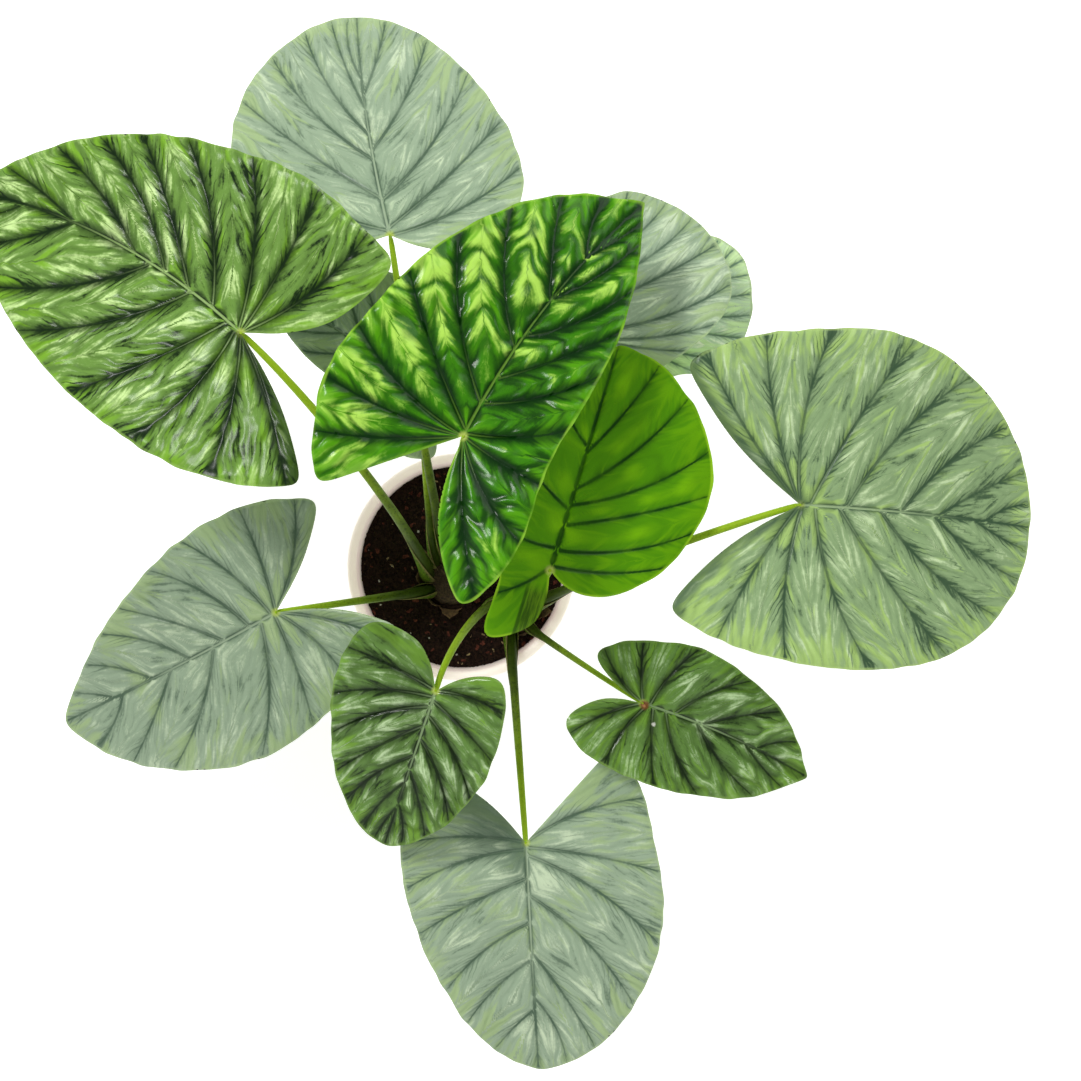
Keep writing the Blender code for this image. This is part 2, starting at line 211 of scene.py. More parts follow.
SilverLook = look_group(
    "SilverLook",
    ((194, 211, 178), (149, 169, 142), (78, 100, 80), (160, 184, 128), (170, 192, 142)),
    (0.0014, 0.00022, 0.016, 3.0), (0.50, 0.9, 0.42, 0.15, 0.0))
PaleLook = look_group(
    "PaleLook",
    ((188, 210, 162), (132, 158, 112), (56, 80, 56), (160, 192, 104), (172, 200, 120)),
    (0.0015, 0.00025, 0.014, 2.6), (0.85, 0.9, 0.55, 0.15, 0.0))
StreakedLook = look_group(
    "StreakedLook",
    ((200, 230, 152), (106, 144, 64), (14, 36, 8), (122, 174, 40), (140, 176, 84)),
    (0.0020, 0.00045, 0.018, 2.4), (1.0, 1.0, 0.90, 0.18, 0.0))
BrightLook = look_group(
    "BrightLook",
    ((174, 220, 88), (54, 122, 2), (1, 42, 1), (84, 156, 6), (150, 200, 60)),
    (0.0032, 0.00080, 0.015, 1.5), (0.50, 0.62, 0.95, 0.23, 0.9))
YoungLook = look_group(
    "YoungLook",
    ((114, 174, 4), (75, 136, 1), (16, 60, 1), (98, 156, 2), (160, 206, 40)),
    (0.0010, 0.00008, 0.016, 2.0), (0.12, 0.10, 0.22, 0.12, 0.0))
DeepLook = look_group(
    "DeepLook",
    ((180, 204, 156), (92, 126, 60), (20, 36, 12), (108, 150, 48), (126, 160, 76)),
    (0.0024, 0.00065, 0.030, 3.4), (0.85, 0.90, 0.75, 0.30, 0.0))
LOOKS = {"silver": SilverLook, "pale": PaleLook, "streaked": StreakedLook,
         "bright": BrightLook, "young": YoungLook, "deep": DeepLook}


class BladeSettings(bpy.types.PropertyGroup):
    spokes: IntProperty(name="Spokes", default=156, min=26,
                        description="Lines of points from the joint to one side's margin")
    rings: IntProperty(name="Rings", description="Rows of points between the joint and the margin",
                       default=72, min=12)
    thickness: length("Thickness", 0.0005, "Thickness of the blade between its veins")
    lobe_round: length("Lobe rounding", 0.009, "How far the corner of each lobe is rounded")
    vein_bend: share("Vein bend", 0.10, "How far the side veins bend towards the tip")
    edge_wander: length("Edge unevenness", 0.0007, "How far the margin strays from its even line")
    midrib: length("Midrib width", 0.0019, "Width of the midrib's groove at the joint")
    side_vein: length("Side vein width", 0.0013, "Width of a side vein's groove where it starts")
    groove: length("Groove depth", 0.0006, "Depth of the veins' grooves in the upper side")
    rib: length("Rib height", 0.0017, "How far the midrib stands out below at the joint")
    rim_width: length("Rim width", 0.0011, "Width of the paler band along the margin")
    ripple: length("Ripple", 0.0016, "How far the margin waves up and down")
    under: colour("Underside", (0.20, 0.32, 0.12), "Colour of the underside")
    under_vein: colour("Underside veins", (0.32, 0.44, 0.16), "Colour of the underside's ribs")
    joint: colour("Joint", (0.42, 0.52, 0.10), "Colour of the blade where its stalk joins")


class StalkSettings(bpy.types.PropertyGroup):
    sides: IntProperty(name="Sides", description="Points round a stalk", default=20, min=8)
    rows: IntProperty(name="Rows", description="Rows of points along a stalk", default=90, min=10)
    sheath_reach: share("Sheath reach", 0.36, "How far up the stalk its sheath runs")
    sheath_skin: length("Sheath skin", 0.0006, "Thickness of the sheath's wall")
    low: colour("Foot", paint(56, 74, 14), "Colour of a stalk near its foot")
    high: colour("Top", paint(146, 178, 34), "Colour of a stalk near its blade")
    fleck: colour("Flecks", paint(30, 42, 10), "Colour of the fine marks along a stalk")
    sheath: colour("Sheath", paint(96, 130, 24), "Colour of the sheaths")
    sheath_edge: colour("Sheath edge", (0.30, 0.24, 0.10), "Colour of the sheaths' thin edges")


class MixSettings(bpy.types.PropertyGroup):
    rough: length("Unevenness", 0.0016, "Height of the bumps in the mix's top")
    crumb: length("Crumb size", 0.0026, "Size of the largest crumbs")
    chip: length("Chip size", 0.0052, "Size of the largest bark chips")
    earth: colour("Earth", (0.008, 0.004, 0.003), "Colour of the damp peat")
    earth_light: colour("Dry earth", (0.030, 0.014, 0.009), "Colour of drier crumbs")
    bark: colour("Bark", (0.16, 0.045, 0.030), "Colour of the reddish bark chips")
    straw: colour("Straw", (0.42, 0.30, 0.16), "Colour of the pale chips and fibres")
    grit: colour("Grit", (0.62, 0.58, 0.52), "Colour of the white grit")
    husk: colour("Husk", (0.20, 0.11, 0.045), "Colour of the dry scales on the rhizomes")
    rhizome: colour("Rhizome", (0.11, 0.065, 0.03), "Colour of the rhizomes' skin")
    rhizome_dark: colour("Rhizome hollows", (0.035, 0.02, 0.012), "Colour of the skin's cracks")
    rhizome_light: colour("Rhizome flakes", (0.22, 0.15, 0.07), "Colour of the skin's dry flakes")


class PotSettings(bpy.types.PropertyGroup):
    segments: IntProperty(name="Segments", description="Points round the pot", default=160, min=24)
    wall: length("Wall", 0.0024, "Thickness of the pot's wall")
    skirt: length("Skirt thickness", 0.0012, "Thickness of the rolled rim's hanging skirt")
    skirt_height: length("Skirt height", 0.009, "How far the skirt hangs below the rim's top")
    curl: length("Rim rounding", 0.0021, "How far the rim's top edge is rounded down")
    body: colour("Plastic", (0.85, 0.81, 0.76), "Colour of the pot")
    # The rim's glow is painted light: the rim emits light of its own, though the pot is no lamp.
    painted_rim_light: share("Glow", 0.42, "How much light gathers in the rim's thin plastic")
    painted_rim_light_tint: colour("Glow tint", (1.0, 0.76, 0.71), "Colour of the light in the rim")
    scuff: colour("Scuffs", (0.55, 0.50, 0.45), "Colour of the dust and scuffs on the pot")


class StageSettings(bpy.types.PropertyGroup):
    floor: colour("Floor", (0.93, 0.93, 0.93), "Colour of the floor")
    floor_light: share("Floor light", 0.55, "How far the floor is lit from within")
    floor_reach: length("Floor reach", 20.0, "Distance from the pot to each edge of the floor")
    sky: share("Sky", 0.34, "Strength of the pale light from all round")
    camera_height: length("Camera height", 1.45, "Height of the camera above the floor")
    lens: FloatProperty(name="Lens", description="Focal length in millimetres", default=71.87)


# ---------------------------------------------------------------- material trees

class Nodes:
    """A node tree being built, with one call that adds a node and feeds its inputs."""

    def __init__(self, tree):
        self.tree, self.nodes, self.links = tree, tree.nodes, tree.links

    def feed(self, socket, value):
        """Links a socket to another's output, or sets it to a constant."""
        if isinstance(value, bpy.types.NodeSocket):
            self.links.new(value, socket)
        elif isinstance(value, (int, float, str, bpy.types.ID)):
            socket.default_value = value
        else:
            full = tuple(value)
            socket.default_value = full if len(full) == len(socket.default_value) else (*full, 1.0)

    def put(self, kind, feeds, **settings):
        """Adds a node. feeds gives its inputs by name or number, and settings its options."""
        node = self.nodes.new(kind)
        for key, value in settings.items():
            setattr(node, key, value)
        for key, value in feeds.items():
            self.feed(node.inputs[key], value)
        return node


class Growth(Nodes):
    """A Geometry Nodes tree with named inputs, which ends as real mesh in one material."""

    def __init__(self, name, inputs, result):
        super().__init__(bpy.data.node_groups.new(name, "GeometryNodeTree"))
        for label, kind in inputs.items():
            self.tree.interface.new_socket(label, in_out="INPUT", socket_type="NodeSocket" + kind)
        self.tree.interface.new_socket(result, in_out="OUTPUT", socket_type="NodeSocketGeometry")
        self.given = self.nodes.new("NodeGroupInput").outputs
        self.result = self.nodes.new("NodeGroupOutput").inputs[result]

    def finish(self, shape, material):
        """Realizes the shape, gives it its material and makes it the tree's result."""
        real = self.put("GeometryNodeRealizeInstances", {"Geometry": shape})
        painted = self.put("GeometryNodeSetMaterial",
                           {"Geometry": real.outputs["Geometry"], "Material": material})
        self.feed(self.result, painted.outputs["Geometry"])
        return self.tree


class Tree(Nodes):
    """A material's node tree, with a short call for each kind of node."""

    def __init__(self, name):
        self.material = bpy.data.materials.new(name)
        self.material.use_nodes = True
        super().__init__(self.material.node_tree)
        self.shader = self.nodes["Principled BSDF"]

    def attribute(self, name):
        return self.put("ShaderNodeAttribute", {}, attribute_name=name).outputs["Vector"]

    def position(self):
        """The point on the piece, in millimetres."""
        place = self.put("ShaderNodeTexCoord", {}).outputs["Object"]
        return self.scaled(place, (1000.0, 1000.0, 1000.0))

    def scaled(self, vector, by):
        feeds = {0: vector, 1: by}
        return self.put("ShaderNodeVectorMath", feeds, operation="MULTIPLY").outputs[0]

    def split(self, vector):
        return tuple(self.put("ShaderNodeSeparateXYZ", {0: vector}).outputs)

    def joined(self, x, y, z):
        return self.put("ShaderNodeCombineXYZ", {0: x, 1: y, 2: z}).outputs[0]

    def math(self, operation, first, second=0.0):
        return self.put("ShaderNodeMath", {0: first, 1: second}, operation=operation).outputs[0]

    def times(self, first, second):
        return self.math("MULTIPLY", first, second)

    def plus(self, first, second):
        return self.math("ADD", first, second)

    def centred(self, value):
        """The value less one half, so that a 0 to 1 pattern runs either side of 0."""
        return self.math("SUBTRACT", value, 0.5)

    def summed(self, start, *terms):
        """start plus each of the terms, which are a value and how much of it to add."""
        for value, weight in terms:
            start = self.plus(start, self.times(value, weight))
        return start

    def ramp(self, value, low, high, start=0.0, end=1.0):
        """start where value is low, end where it is high, and a smooth step between."""
        feeds = {0: value, 1: low, 2: high, 3: start, 4: end}
        return self.put("ShaderNodeMapRange", feeds, interpolation_type="SMOOTHSTEP").outputs[0]

    def noise(self, vector, scale, detail=2.0, roughness=0.5):
        feeds = {"Vector": vector, "Scale": scale, "Detail": detail, "Roughness": roughness}
        return self.put("ShaderNodeTexNoise", feeds).outputs[0]

    def cells(self, vector, scale):
        feeds = {"Vector": vector, "Scale": scale}
        return self.put("ShaderNodeTexVoronoi", feeds).outputs["Distance"]

    def mix(self, amount, first, second):
        """first where amount is 0, and second where it is 1."""
        feeds = {0: amount, 6: first, 7: second}
        return self.put("ShaderNodeMix", feeds, data_type="RGBA").outputs[2]

    def bump(self, height, strength, distance):
        feeds = {"Height": height, "Strength": strength, "Distance": distance}
        return self.put("ShaderNodeBump", feeds).outputs[0]

    def finish(self, **inputs):
        """Feeds the shader's inputs, named with _ for a space, and returns the material."""
        for name, value in inputs.items():
            self.feed(self.shader.inputs[name.replace("_", " ")], value)
        return self.material


def toned(values, tone):
    """A colour made lighter or darker."""
    return tuple(min(1.0, v * tone) for v in values)


def halfway(first, second):
    """The colour midway between two."""
    return tuple(0.5 * (a + b) for a, b in zip(first, second))


# ---------------------------------------------------------------- reading the solids

def solid_mesh(node):
    """A copy of a CAD node's shape, as a bmesh with its shared points merged."""
    bm = bmesh.new()
    bm.from_mesh(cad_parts[node].data)
    bmesh.ops.remove_doubles(bm, verts=bm.verts, dist=1e-6)
    bm.normal_update()
    return bm


def stalk_rings(node):
    """The rings of points of a stalk's solid, from its foot up: their centres and radii."""
    bm = solid_mesh(node)
    low = min(v.co.z for v in bm.verts)
    ring = {v for v in bm.verts if v.co.z < low + FLAT_TOLERANCE}
    seen = set()
    centres, radii = [], []
    while ring:
        centre = sum((v.co for v in ring), Vector()) / len(ring)
        centres.append(centre)
        radii.append(sum((v.co - centre).length for v in ring) / len(ring))
        seen |= ring
        ring = {e.other_vert(v) for v in ring for e in v.link_edges} - seen
    bm.free()
    return centres, radii


def smooth_line(points, count):
    """count points on a smooth curve through the given points, evenly spaced along them."""
    points = np.asarray(points, float)
    steps = np.linalg.norm(np.diff(points, axis=0), axis=1)
    knots = np.concatenate(([0.0], np.cumsum(steps)))
    slopes = np.gradient(points, knots, axis=0)
    where = np.linspace(0.0, knots[-1], count)
    i = np.clip(np.searchsorted(knots, where) - 1, 0, len(knots) - 2)
    span = (knots[i + 1] - knots[i])[:, None]
    s = ((where - knots[i])[:, None]) / span
    value = (2 * s ** 3 - 3 * s ** 2 + 1) * points[i] + (3 * s ** 2 - 2 * s ** 3) * points[i + 1]
    lean = (s ** 3 - 2 * s ** 2 + s) * slopes[i] + (s ** 3 - s ** 2) * slopes[i + 1]
    return value + span * lean


class BladeShape:
    """A blade's outline and lie, read from its solid. Plan points are (forward, left) of its
    joint, in millimetres, and heights are above the joint."""

    def __init__(self, number):
        bm = solid_mesh(f"leaf_blade_{number:02d}")
        loop = self.margin_loop(bm)
        stalk_end = stalk_rings(f"leaf_stalk_{number:02d}")[0][-1]
        start = min(range(len(loop)), key=lambda i: (loop[i] - stalk_end).length)
        loop = loop[start:] + loop[:start]
        self.joint = loop[0].copy()
        tip = loop[len(loop) // 2]
        self.ahead = Vector((tip.x - self.joint.x, tip.y - self.joint.y, 0.0)).normalized()
        self.across = Vector((-self.ahead.y, self.ahead.x, 0.0))
        plan = np.array([self.flat(point) for point in loop])
        ahead, left = plan.T
        if (ahead * np.roll(left, -1) - left * np.roll(ahead, -1)).sum() < 0.0:
            plan = np.roll(plan[::-1], 1, axis=0)
        self.read_outline(plan, LEAVES[number].tip)
        self.read_heights(bm)
        bm.free()

    @staticmethod
    def margin_loop(bm):
        """The points where the upper and the lower sheet meet, in order."""
        rim = [e for e in bm.edges if e.link_faces[0].normal.z * e.link_faces[1].normal.z < 0.0]
        following = {}
        for edge in rim:
            for vert in edge.verts:
                following.setdefault(vert, []).append(edge.other_vert(vert))
        here = rim[0].verts[0]
        order, before = [here], None
        while True:
            after = [v for v in following[here] if v is not before][0]
            if after is order[0]:
                return [v.co.copy() for v in order]
            order.append(after)
            before, here = here, after

    def flat(self, point):
        """A point's place in the blade's plan."""
        away = Vector((point.x - self.joint.x, point.y - self.joint.y, 0.0)) / MM
        return away.dot(self.ahead), away.dot(self.across)

    def read_outline(self, plan, tip_round):
        """Fine lines for the right side, the left side and the two edges of the notch."""
        half = len(plan) // 2
        right = smooth_line(plan[LOBE_STEP:half + 1], SIDE_POINTS)
        left = smooth_line(plan[half:len(plan) - LOBE_STEP + 1], SIDE_POINTS)
        tip = SIDE_POINTS - 1
        margin = self.eased(np.vstack((right, left[1:])), tip, tip_round / MM)
        notch_right = smooth_line(plan[:LOBE_STEP + 1], NOTCH_POINTS)
        lobe_left = np.vstack((plan[:1], plan[:half:-1][:LOBE_STEP]))
        notch_left = smooth_line(lobe_left, NOTCH_POINTS)
        radius = bpy.context.scene.alocasia_blades.lobe_round / MM
        self.sides = {-1: self.rounded(margin[tip::-1], notch_right, radius),
                      1: self.rounded(margin[tip:], notch_left, radius)}
        self.length = margin[tip, 0]

    @staticmethod
    def eased(line, corner, radius):
        """The line with its corner rounded off."""
        steps = np.linalg.norm(np.diff(line, axis=0), axis=1)
        along = np.concatenate(([0.0], np.cumsum(steps)))
        weight = np.clip(1.35 - np.abs(along - along[corner]) / (2.4 * radius), 0.0, 1.0)[:, None]
        for _ in range(int((radius / steps.mean()) ** 2)):
            middle = line.copy()
            middle[1:-1] = 0.5 * line[1:-1] + 0.25 * (line[:-2] + line[2:])
            line = line + weight * (middle - line)
        return line

    @classmethod
    def rounded(cls, margin, notch, radius):
        """One side's margin and notch edge, with the lobe's corner between them rounded off."""
        line = np.vstack((margin, notch[::-1][1:]))
        steps = np.linalg.norm(np.diff(line, axis=0), axis=1)
        along = np.concatenate(([0.0], np.cumsum(steps)))
        even = np.linspace(0.0, along[-1], ROUNDED_POINTS)
        turn = int(np.argmin(np.abs(even - along[len(margin) - 1])))
        line = np.column_stack([np.interp(even, along, line[:, k]) for k in (0, 1)])
        line = cls.eased(line, turn, radius)
        reach = np.hypot(*line.T)
        window = slice(max(turn - 30, 0), turn + 30)
        end = window.start + int(np.argmax(reach[window]))
        return line[:end + 1], line[end:][::-1]

    def read_heights(self, bm):
        """A thin-plate surface through the middle of the solid."""
        heights = {}
        for vert in bm.verts:
            key = (round(vert.co.x, 5), round(vert.co.y, 5))
            heights.setdefault(key, []).append(vert.co)
        middles = [sum(group, Vector()) / len(group) for group in heights.values()]
        self.centres = np.array([self.flat(point) for point in middles])
        rise = np.array([(point.z - self.joint.z) / MM for point in middles])
        count = len(rise)
        plane = np.column_stack((np.ones(count), self.centres))
        system = np.zeros((count + 3, count + 3))
        system[:count, :count] = self.plate(self.centres)
        system[:count, count:] = plane
        system[count:, :count] = plane.T
        self.weights = np.linalg.solve(system, np.concatenate((rise, np.zeros(3))))

    def plate(self, points):
        """How much each point of the solid bends the surface at each plan point."""
        gap = points[:, None, :] - self.centres[None, :, :]
        square = (gap ** 2).sum(axis=2) + 1e-9
        return 0.5 * square * np.log(square)

    def height(self, points):
        """The surface's height at plan points."""
        bend = self.plate(points) @ self.weights[:-3]
        return bend + self.weights[-3] + points @ self.weights[-2:]

    def margin_point(self, where, ring=1.0):
        """A plan point on the line from the joint to the margin: where runs from -1 to 1."""
        margin, notch = self.sides[1 if where > 0.0 else -1]
        spot = abs(where) * (len(margin) - 1)
        i = min(int(spot), len(margin) - 2)
        edge = margin[i] + (margin[i + 1] - margin[i]) * (spot - i)
        bend = max(0.0, (abs(where) - 0.5) / 0.5) ** 2
        k = ring * (len(notch) - 1)
        j = min(int(k), len(notch) - 2)
        line = notch[j] + (notch[j + 1] - notch[j]) * (k - j)
        return edge * ring + bend * (line - notch[-1] * ring)

    def grid(self, spokes, rings):
        """Plan points of the whole blade, by spoke from right lobe to left lobe and by ring."""
        wheres = np.linspace(-1.0, 1.0, 2 * spokes + 1)
        shares = np.arange(1, rings + 1) / rings
        return np.array([[self.margin_point(w, r) for r in shares] for w in wheres])

    def world(self, points, heights):
        """Plan points and heights as points in the frame."""
        base = np.array(self.joint)
        flat = points[:, :1] * np.array(self.ahead) + points[:, 1:] * np.array(self.across)
        flat[:, 2] += heights
        return base + flat * MM


# ---------------------------------------------------------------- blades

def bent_line(start, end, bulge, away_from):
    """A line of points that swells sideways, away from the direction away_from."""
    start, end = np.asarray(start, float), np.asarray(end, float)
    chord = end - start
    normal = np.array((-chord[1], chord[0]))
    if normal @ np.asarray(away_from) > 0.0:
        normal = -normal
    control = 0.5 * (start + end) + bulge * normal
    s = np.linspace(0.0, 1.0, VEIN_POINTS)[:, None]
    return (1 - s) ** 2 * start + 2 * s * (1 - s) * control + s ** 2 * end


def midrib_point(shape, bow, reach):
    """A plan point on the midrib, which bows to the left by a share of its length."""
    return np.array((reach, 4.0 * bow * reach * (1.0 - reach))) * shape.length


def vein_lines(shape, leaf, settings):
    """A blade's main veins: each is a plan line and its width where it starts and ends."""
    midrib, side = settings.midrib / MM, settings.side_vein / MM
    spine = np.array([midrib_point(shape, leaf.bow, s)
                      for s in np.linspace(0.0, 1.0, MIDRIB_POINTS)])
    veins = [(spine, midrib, 0.6)]
    for hand, table in ((-1, leaf.right), (1, leaf.left)):
        for n, (start, end) in enumerate(table):
            bulge = settings.vein_bend * (1.0 + 0.5 * math.sin(4.0 * n + hand))
            line = bent_line(midrib_point(shape, leaf.bow, start),
                             shape.margin_point(hand * end, 0.975), bulge, (1.0, 0.0))
            veins.append((line, side * (1.0 - 0.4 * start), 0.5))
    return veins


def vein_field(points, veins):
    """For each plan point: its signed distance from its nearest vein, how far it lies towards the
    next vein, the vein's width, the gap between the two, and the vein's number."""
    count = len(points)
    first = np.full(count, FAR)
    second = np.full(count, FAR)
    signed = np.zeros(count)
    width = np.ones(count)
    which = np.zeros(count)
    for n, (line, wide, narrow) in enumerate(veins):
        steps = np.diff(line, axis=0)
        spans = np.linalg.norm(steps, axis=1)
        starts = np.concatenate(([0.0], np.cumsum(spans)))
        best = np.full(count, FAR)
        place = np.zeros(count)
        hand = np.ones(count)
        for k, (step, span) in enumerate(zip(steps, spans)):
            away = points - line[k]
            s = np.clip(away @ step / span ** 2, 0.0, 1.0)
            gap = np.hypot(away[:, 0] - s * step[0], away[:, 1] - s * step[1])
            near = gap < best
            best[near] = gap[near]
            place[near] = (starts[k] + s * span)[near]
            hand[near] = np.sign(step[0] * away[:, 1] - step[1] * away[:, 0])[near]
        nearer = best < first
        second = np.where(nearer, first, np.minimum(second, best))
        signed = np.where(nearer, best * hand, signed)
        here = wide + (narrow - wide) * (place / starts[-1])
        width = np.where(nearer, here, width)
        which = np.where(nearer, n, which)
        first = np.where(nearer, best, first)
    between = 2.0 * first / np.maximum(first + second, 1e-6)
    return signed, between, width, first + second, which


def bumps(points, scale, seed):
    """Smooth seeded noise at plan points given in millimetres."""
    return np.array([noise.noise((x * scale, y * scale, seed)) for x, y in points])


def edge_gap(points, *lines):
    """Distance from each plan point to the nearest of the lines."""
    gap = np.full(len(points), FAR)
    for line in lines:
        for a, b in zip(line, line[1:]):
            step = b - a
            away = points - a
            s = np.clip(away @ step / max(step @ step, 1e-9), 0.0, 1.0)
            gap = np.minimum(gap, np.hypot(away[:, 0] - s * step[0], away[:, 1] - s * step[1]))
    return gap


def mesh_object(name, points, faces, materials, kinds=None):
    """A smooth-shaded mesh object from points and faces. kinds gives each face's material."""
    mesh = bpy.data.meshes.new(name)
    mesh.from_pydata(points, [], faces)
    for material in materials:
        mesh.materials.append(material)
    if kinds is not None:
        mesh.polygons.foreach_set("material_index", kinds)
    mesh.shade_smooth()
    mesh.update()
    piece = bpy.data.objects.new(name, mesh)
    bpy.context.scene.collection.objects.link(piece)
    return piece


def store(piece, name, values):
    """Keeps a number or a vector for each point of the piece, for its material to read."""
    values = np.asarray(values, np.float32)
    kind, field = ("FLOAT_VECTOR", "vector") if values.ndim == 2 else ("FLOAT", "value")
    layer = piece.data.attributes.new(name, kind, "POINT")
    layer.data.foreach_set(field, values.ravel())


def sheet_faces(spokes, rings, joint, offset, turn):
    """Faces of a sheet of spokes and rings round the joint's point, as lists of point numbers."""
    def at(spoke, ring):
        return offset + spoke * rings + ring
    faces = []
    for j in range(spokes - 1):
        faces.append((joint, at(j, 0), at(j + 1, 0))[::turn])
        for i in range(rings - 1):
            faces.append((at(j, i), at(j, i + 1), at(j + 1, i + 1), at(j + 1, i))[::turn])
    return faces


def build_blade(number):
    """A blade as two sheets: the upper one quilted and grooved, the lower one ribbed."""
    settings = bpy.context.scene.alocasia_blades
    leaf = LEAVES[number]
    look = getattr(bpy.context.scene, "alocasia_" + leaf.look)
    shape = BladeShape(number)
    spokes, rings = 2 * settings.spokes + 1, settings.rings
    grid = shape.grid(settings.spokes, rings)
    stray = bumps(grid[:, -1], 0.09, number + 60)[:, None, None] * settings.edge_wander / MM
    reach = np.linspace(0.0, 1.0, rings)[None, :, None] ** 3
    outward = grid / np.maximum(np.linalg.norm(grid, axis=2, keepdims=True), 1e-6)
    plan = (grid + outward * stray * reach * 1.6).reshape(-1, 2)
    signed, between, width, gap, which = vein_field(plan, vein_lines(shape, leaf, settings))
    notch = edge_gap(plan, shape.sides[1][1][::4], shape.sides[-1][1][::4])
    inset = np.minimum(notch, edge_gap(plan, grid[::3, -1]))
    distance = np.abs(signed)
    away = np.hypot(*plan.T)

    inside = 1.0 - np.exp(-inset / 3.0)
    swell = np.sin(0.5 * np.pi * np.clip(between, 0.0, 1.0)) ** 0.85
    quilt = look.quilt / MM * leaf.quilt * np.minimum(1.0, gap / 22.0) * inside
    lumps = 0.8 + 0.6 * bumps(plan, 0.06, number)
    wander = bumps(plan, 0.035, number + 20)
    wander = wander + 0.45 * bumps(plan, 0.10, number + 40)
    phase = (away - look.slant * distance) / (look.spacing / MM) + 1.0 * wander
    outer = np.clip((away - 14.0) / 40.0, 0.15, 1.0)
    envelope = np.clip(distance / 2.5, 0.0, 1.0) * (1.0 - 0.5 * between) * inside * outer
    fold = look.folds / MM * leaf.quilt * np.cos(math.tau * phase) * envelope
    groove = settings.groove / MM * np.minimum(width, 1.2)
    groove = groove * np.exp(-(distance / (0.8 * width)) ** 2)
    ripple = settings.ripple / MM * np.exp(-inset / 9.0) * bumps(plan, 0.035, number + 80)
    shaded = NOTCH_SHADE.get(number, (0.0, 0.0))
    band = np.where(plan[:, 1] > 0.0, shaded[1], shaded[0]) / MM
    turned = np.where(band > 0.0, 0.14 * band * np.exp(-notch / np.maximum(0.5 * band, 1.0)), 0.0)
    turned = turned * np.clip(away / 20.0, 0.0, 1.0)
    middle = shape.height(plan) + quilt * swell * lumps + fold + ripple - groove - turned

    thickness = settings.thickness / MM * (1.0 - np.exp(-inset / 1.2))
    rib = settings.rib / MM * (width / (settings.midrib / MM)) ** 1.3
    ribs = rib * np.exp(-(distance / (0.9 * width)) ** 2) * (1.0 - np.exp(-inset / 2.5))
    upper = shape.world(plan, middle + 0.5 * thickness)
    lower = shape.world(plan, middle - 0.5 * thickness - ribs)

    joint = np.array([shape.joint])
    points = np.vstack((joint, upper, lower))
    faces = sheet_faces(spokes, rings, 0, 1, 1)
    count = len(faces)
    faces += sheet_faces(spokes, rings, 0, 1 + len(upper), -1)
    piece = mesh_object(f"blade_{number:02d}", points, faces,
                        (upper_material(number, leaf, look, settings),
                         under_material(number, leaf, settings)),
                        [0] * count + [1] * (len(faces) - count))
    for name, fields in (("flow", (notch, signed, between)), ("place", (*plan.T, away)),
                         ("trim", (inset, width, swell * lumps)), ("weave", (phase, which, gap))):
        sheet = np.column_stack(fields)
        store(piece, name, np.vstack(((0.0, 1.0, 0.0), sheet, sheet)))
    bm = bmesh.new()
    bm.from_mesh(piece.data)
    bmesh.ops.remove_doubles(bm, verts=bm.verts, dist=2e-6)
    bm.to_mesh(piece.data)
    bm.free()
    piece.data.set_sharp_from_angle(angle=math.radians(75))
    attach(piece, "root")
    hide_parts(f"leaf_blade_{number:02d}")


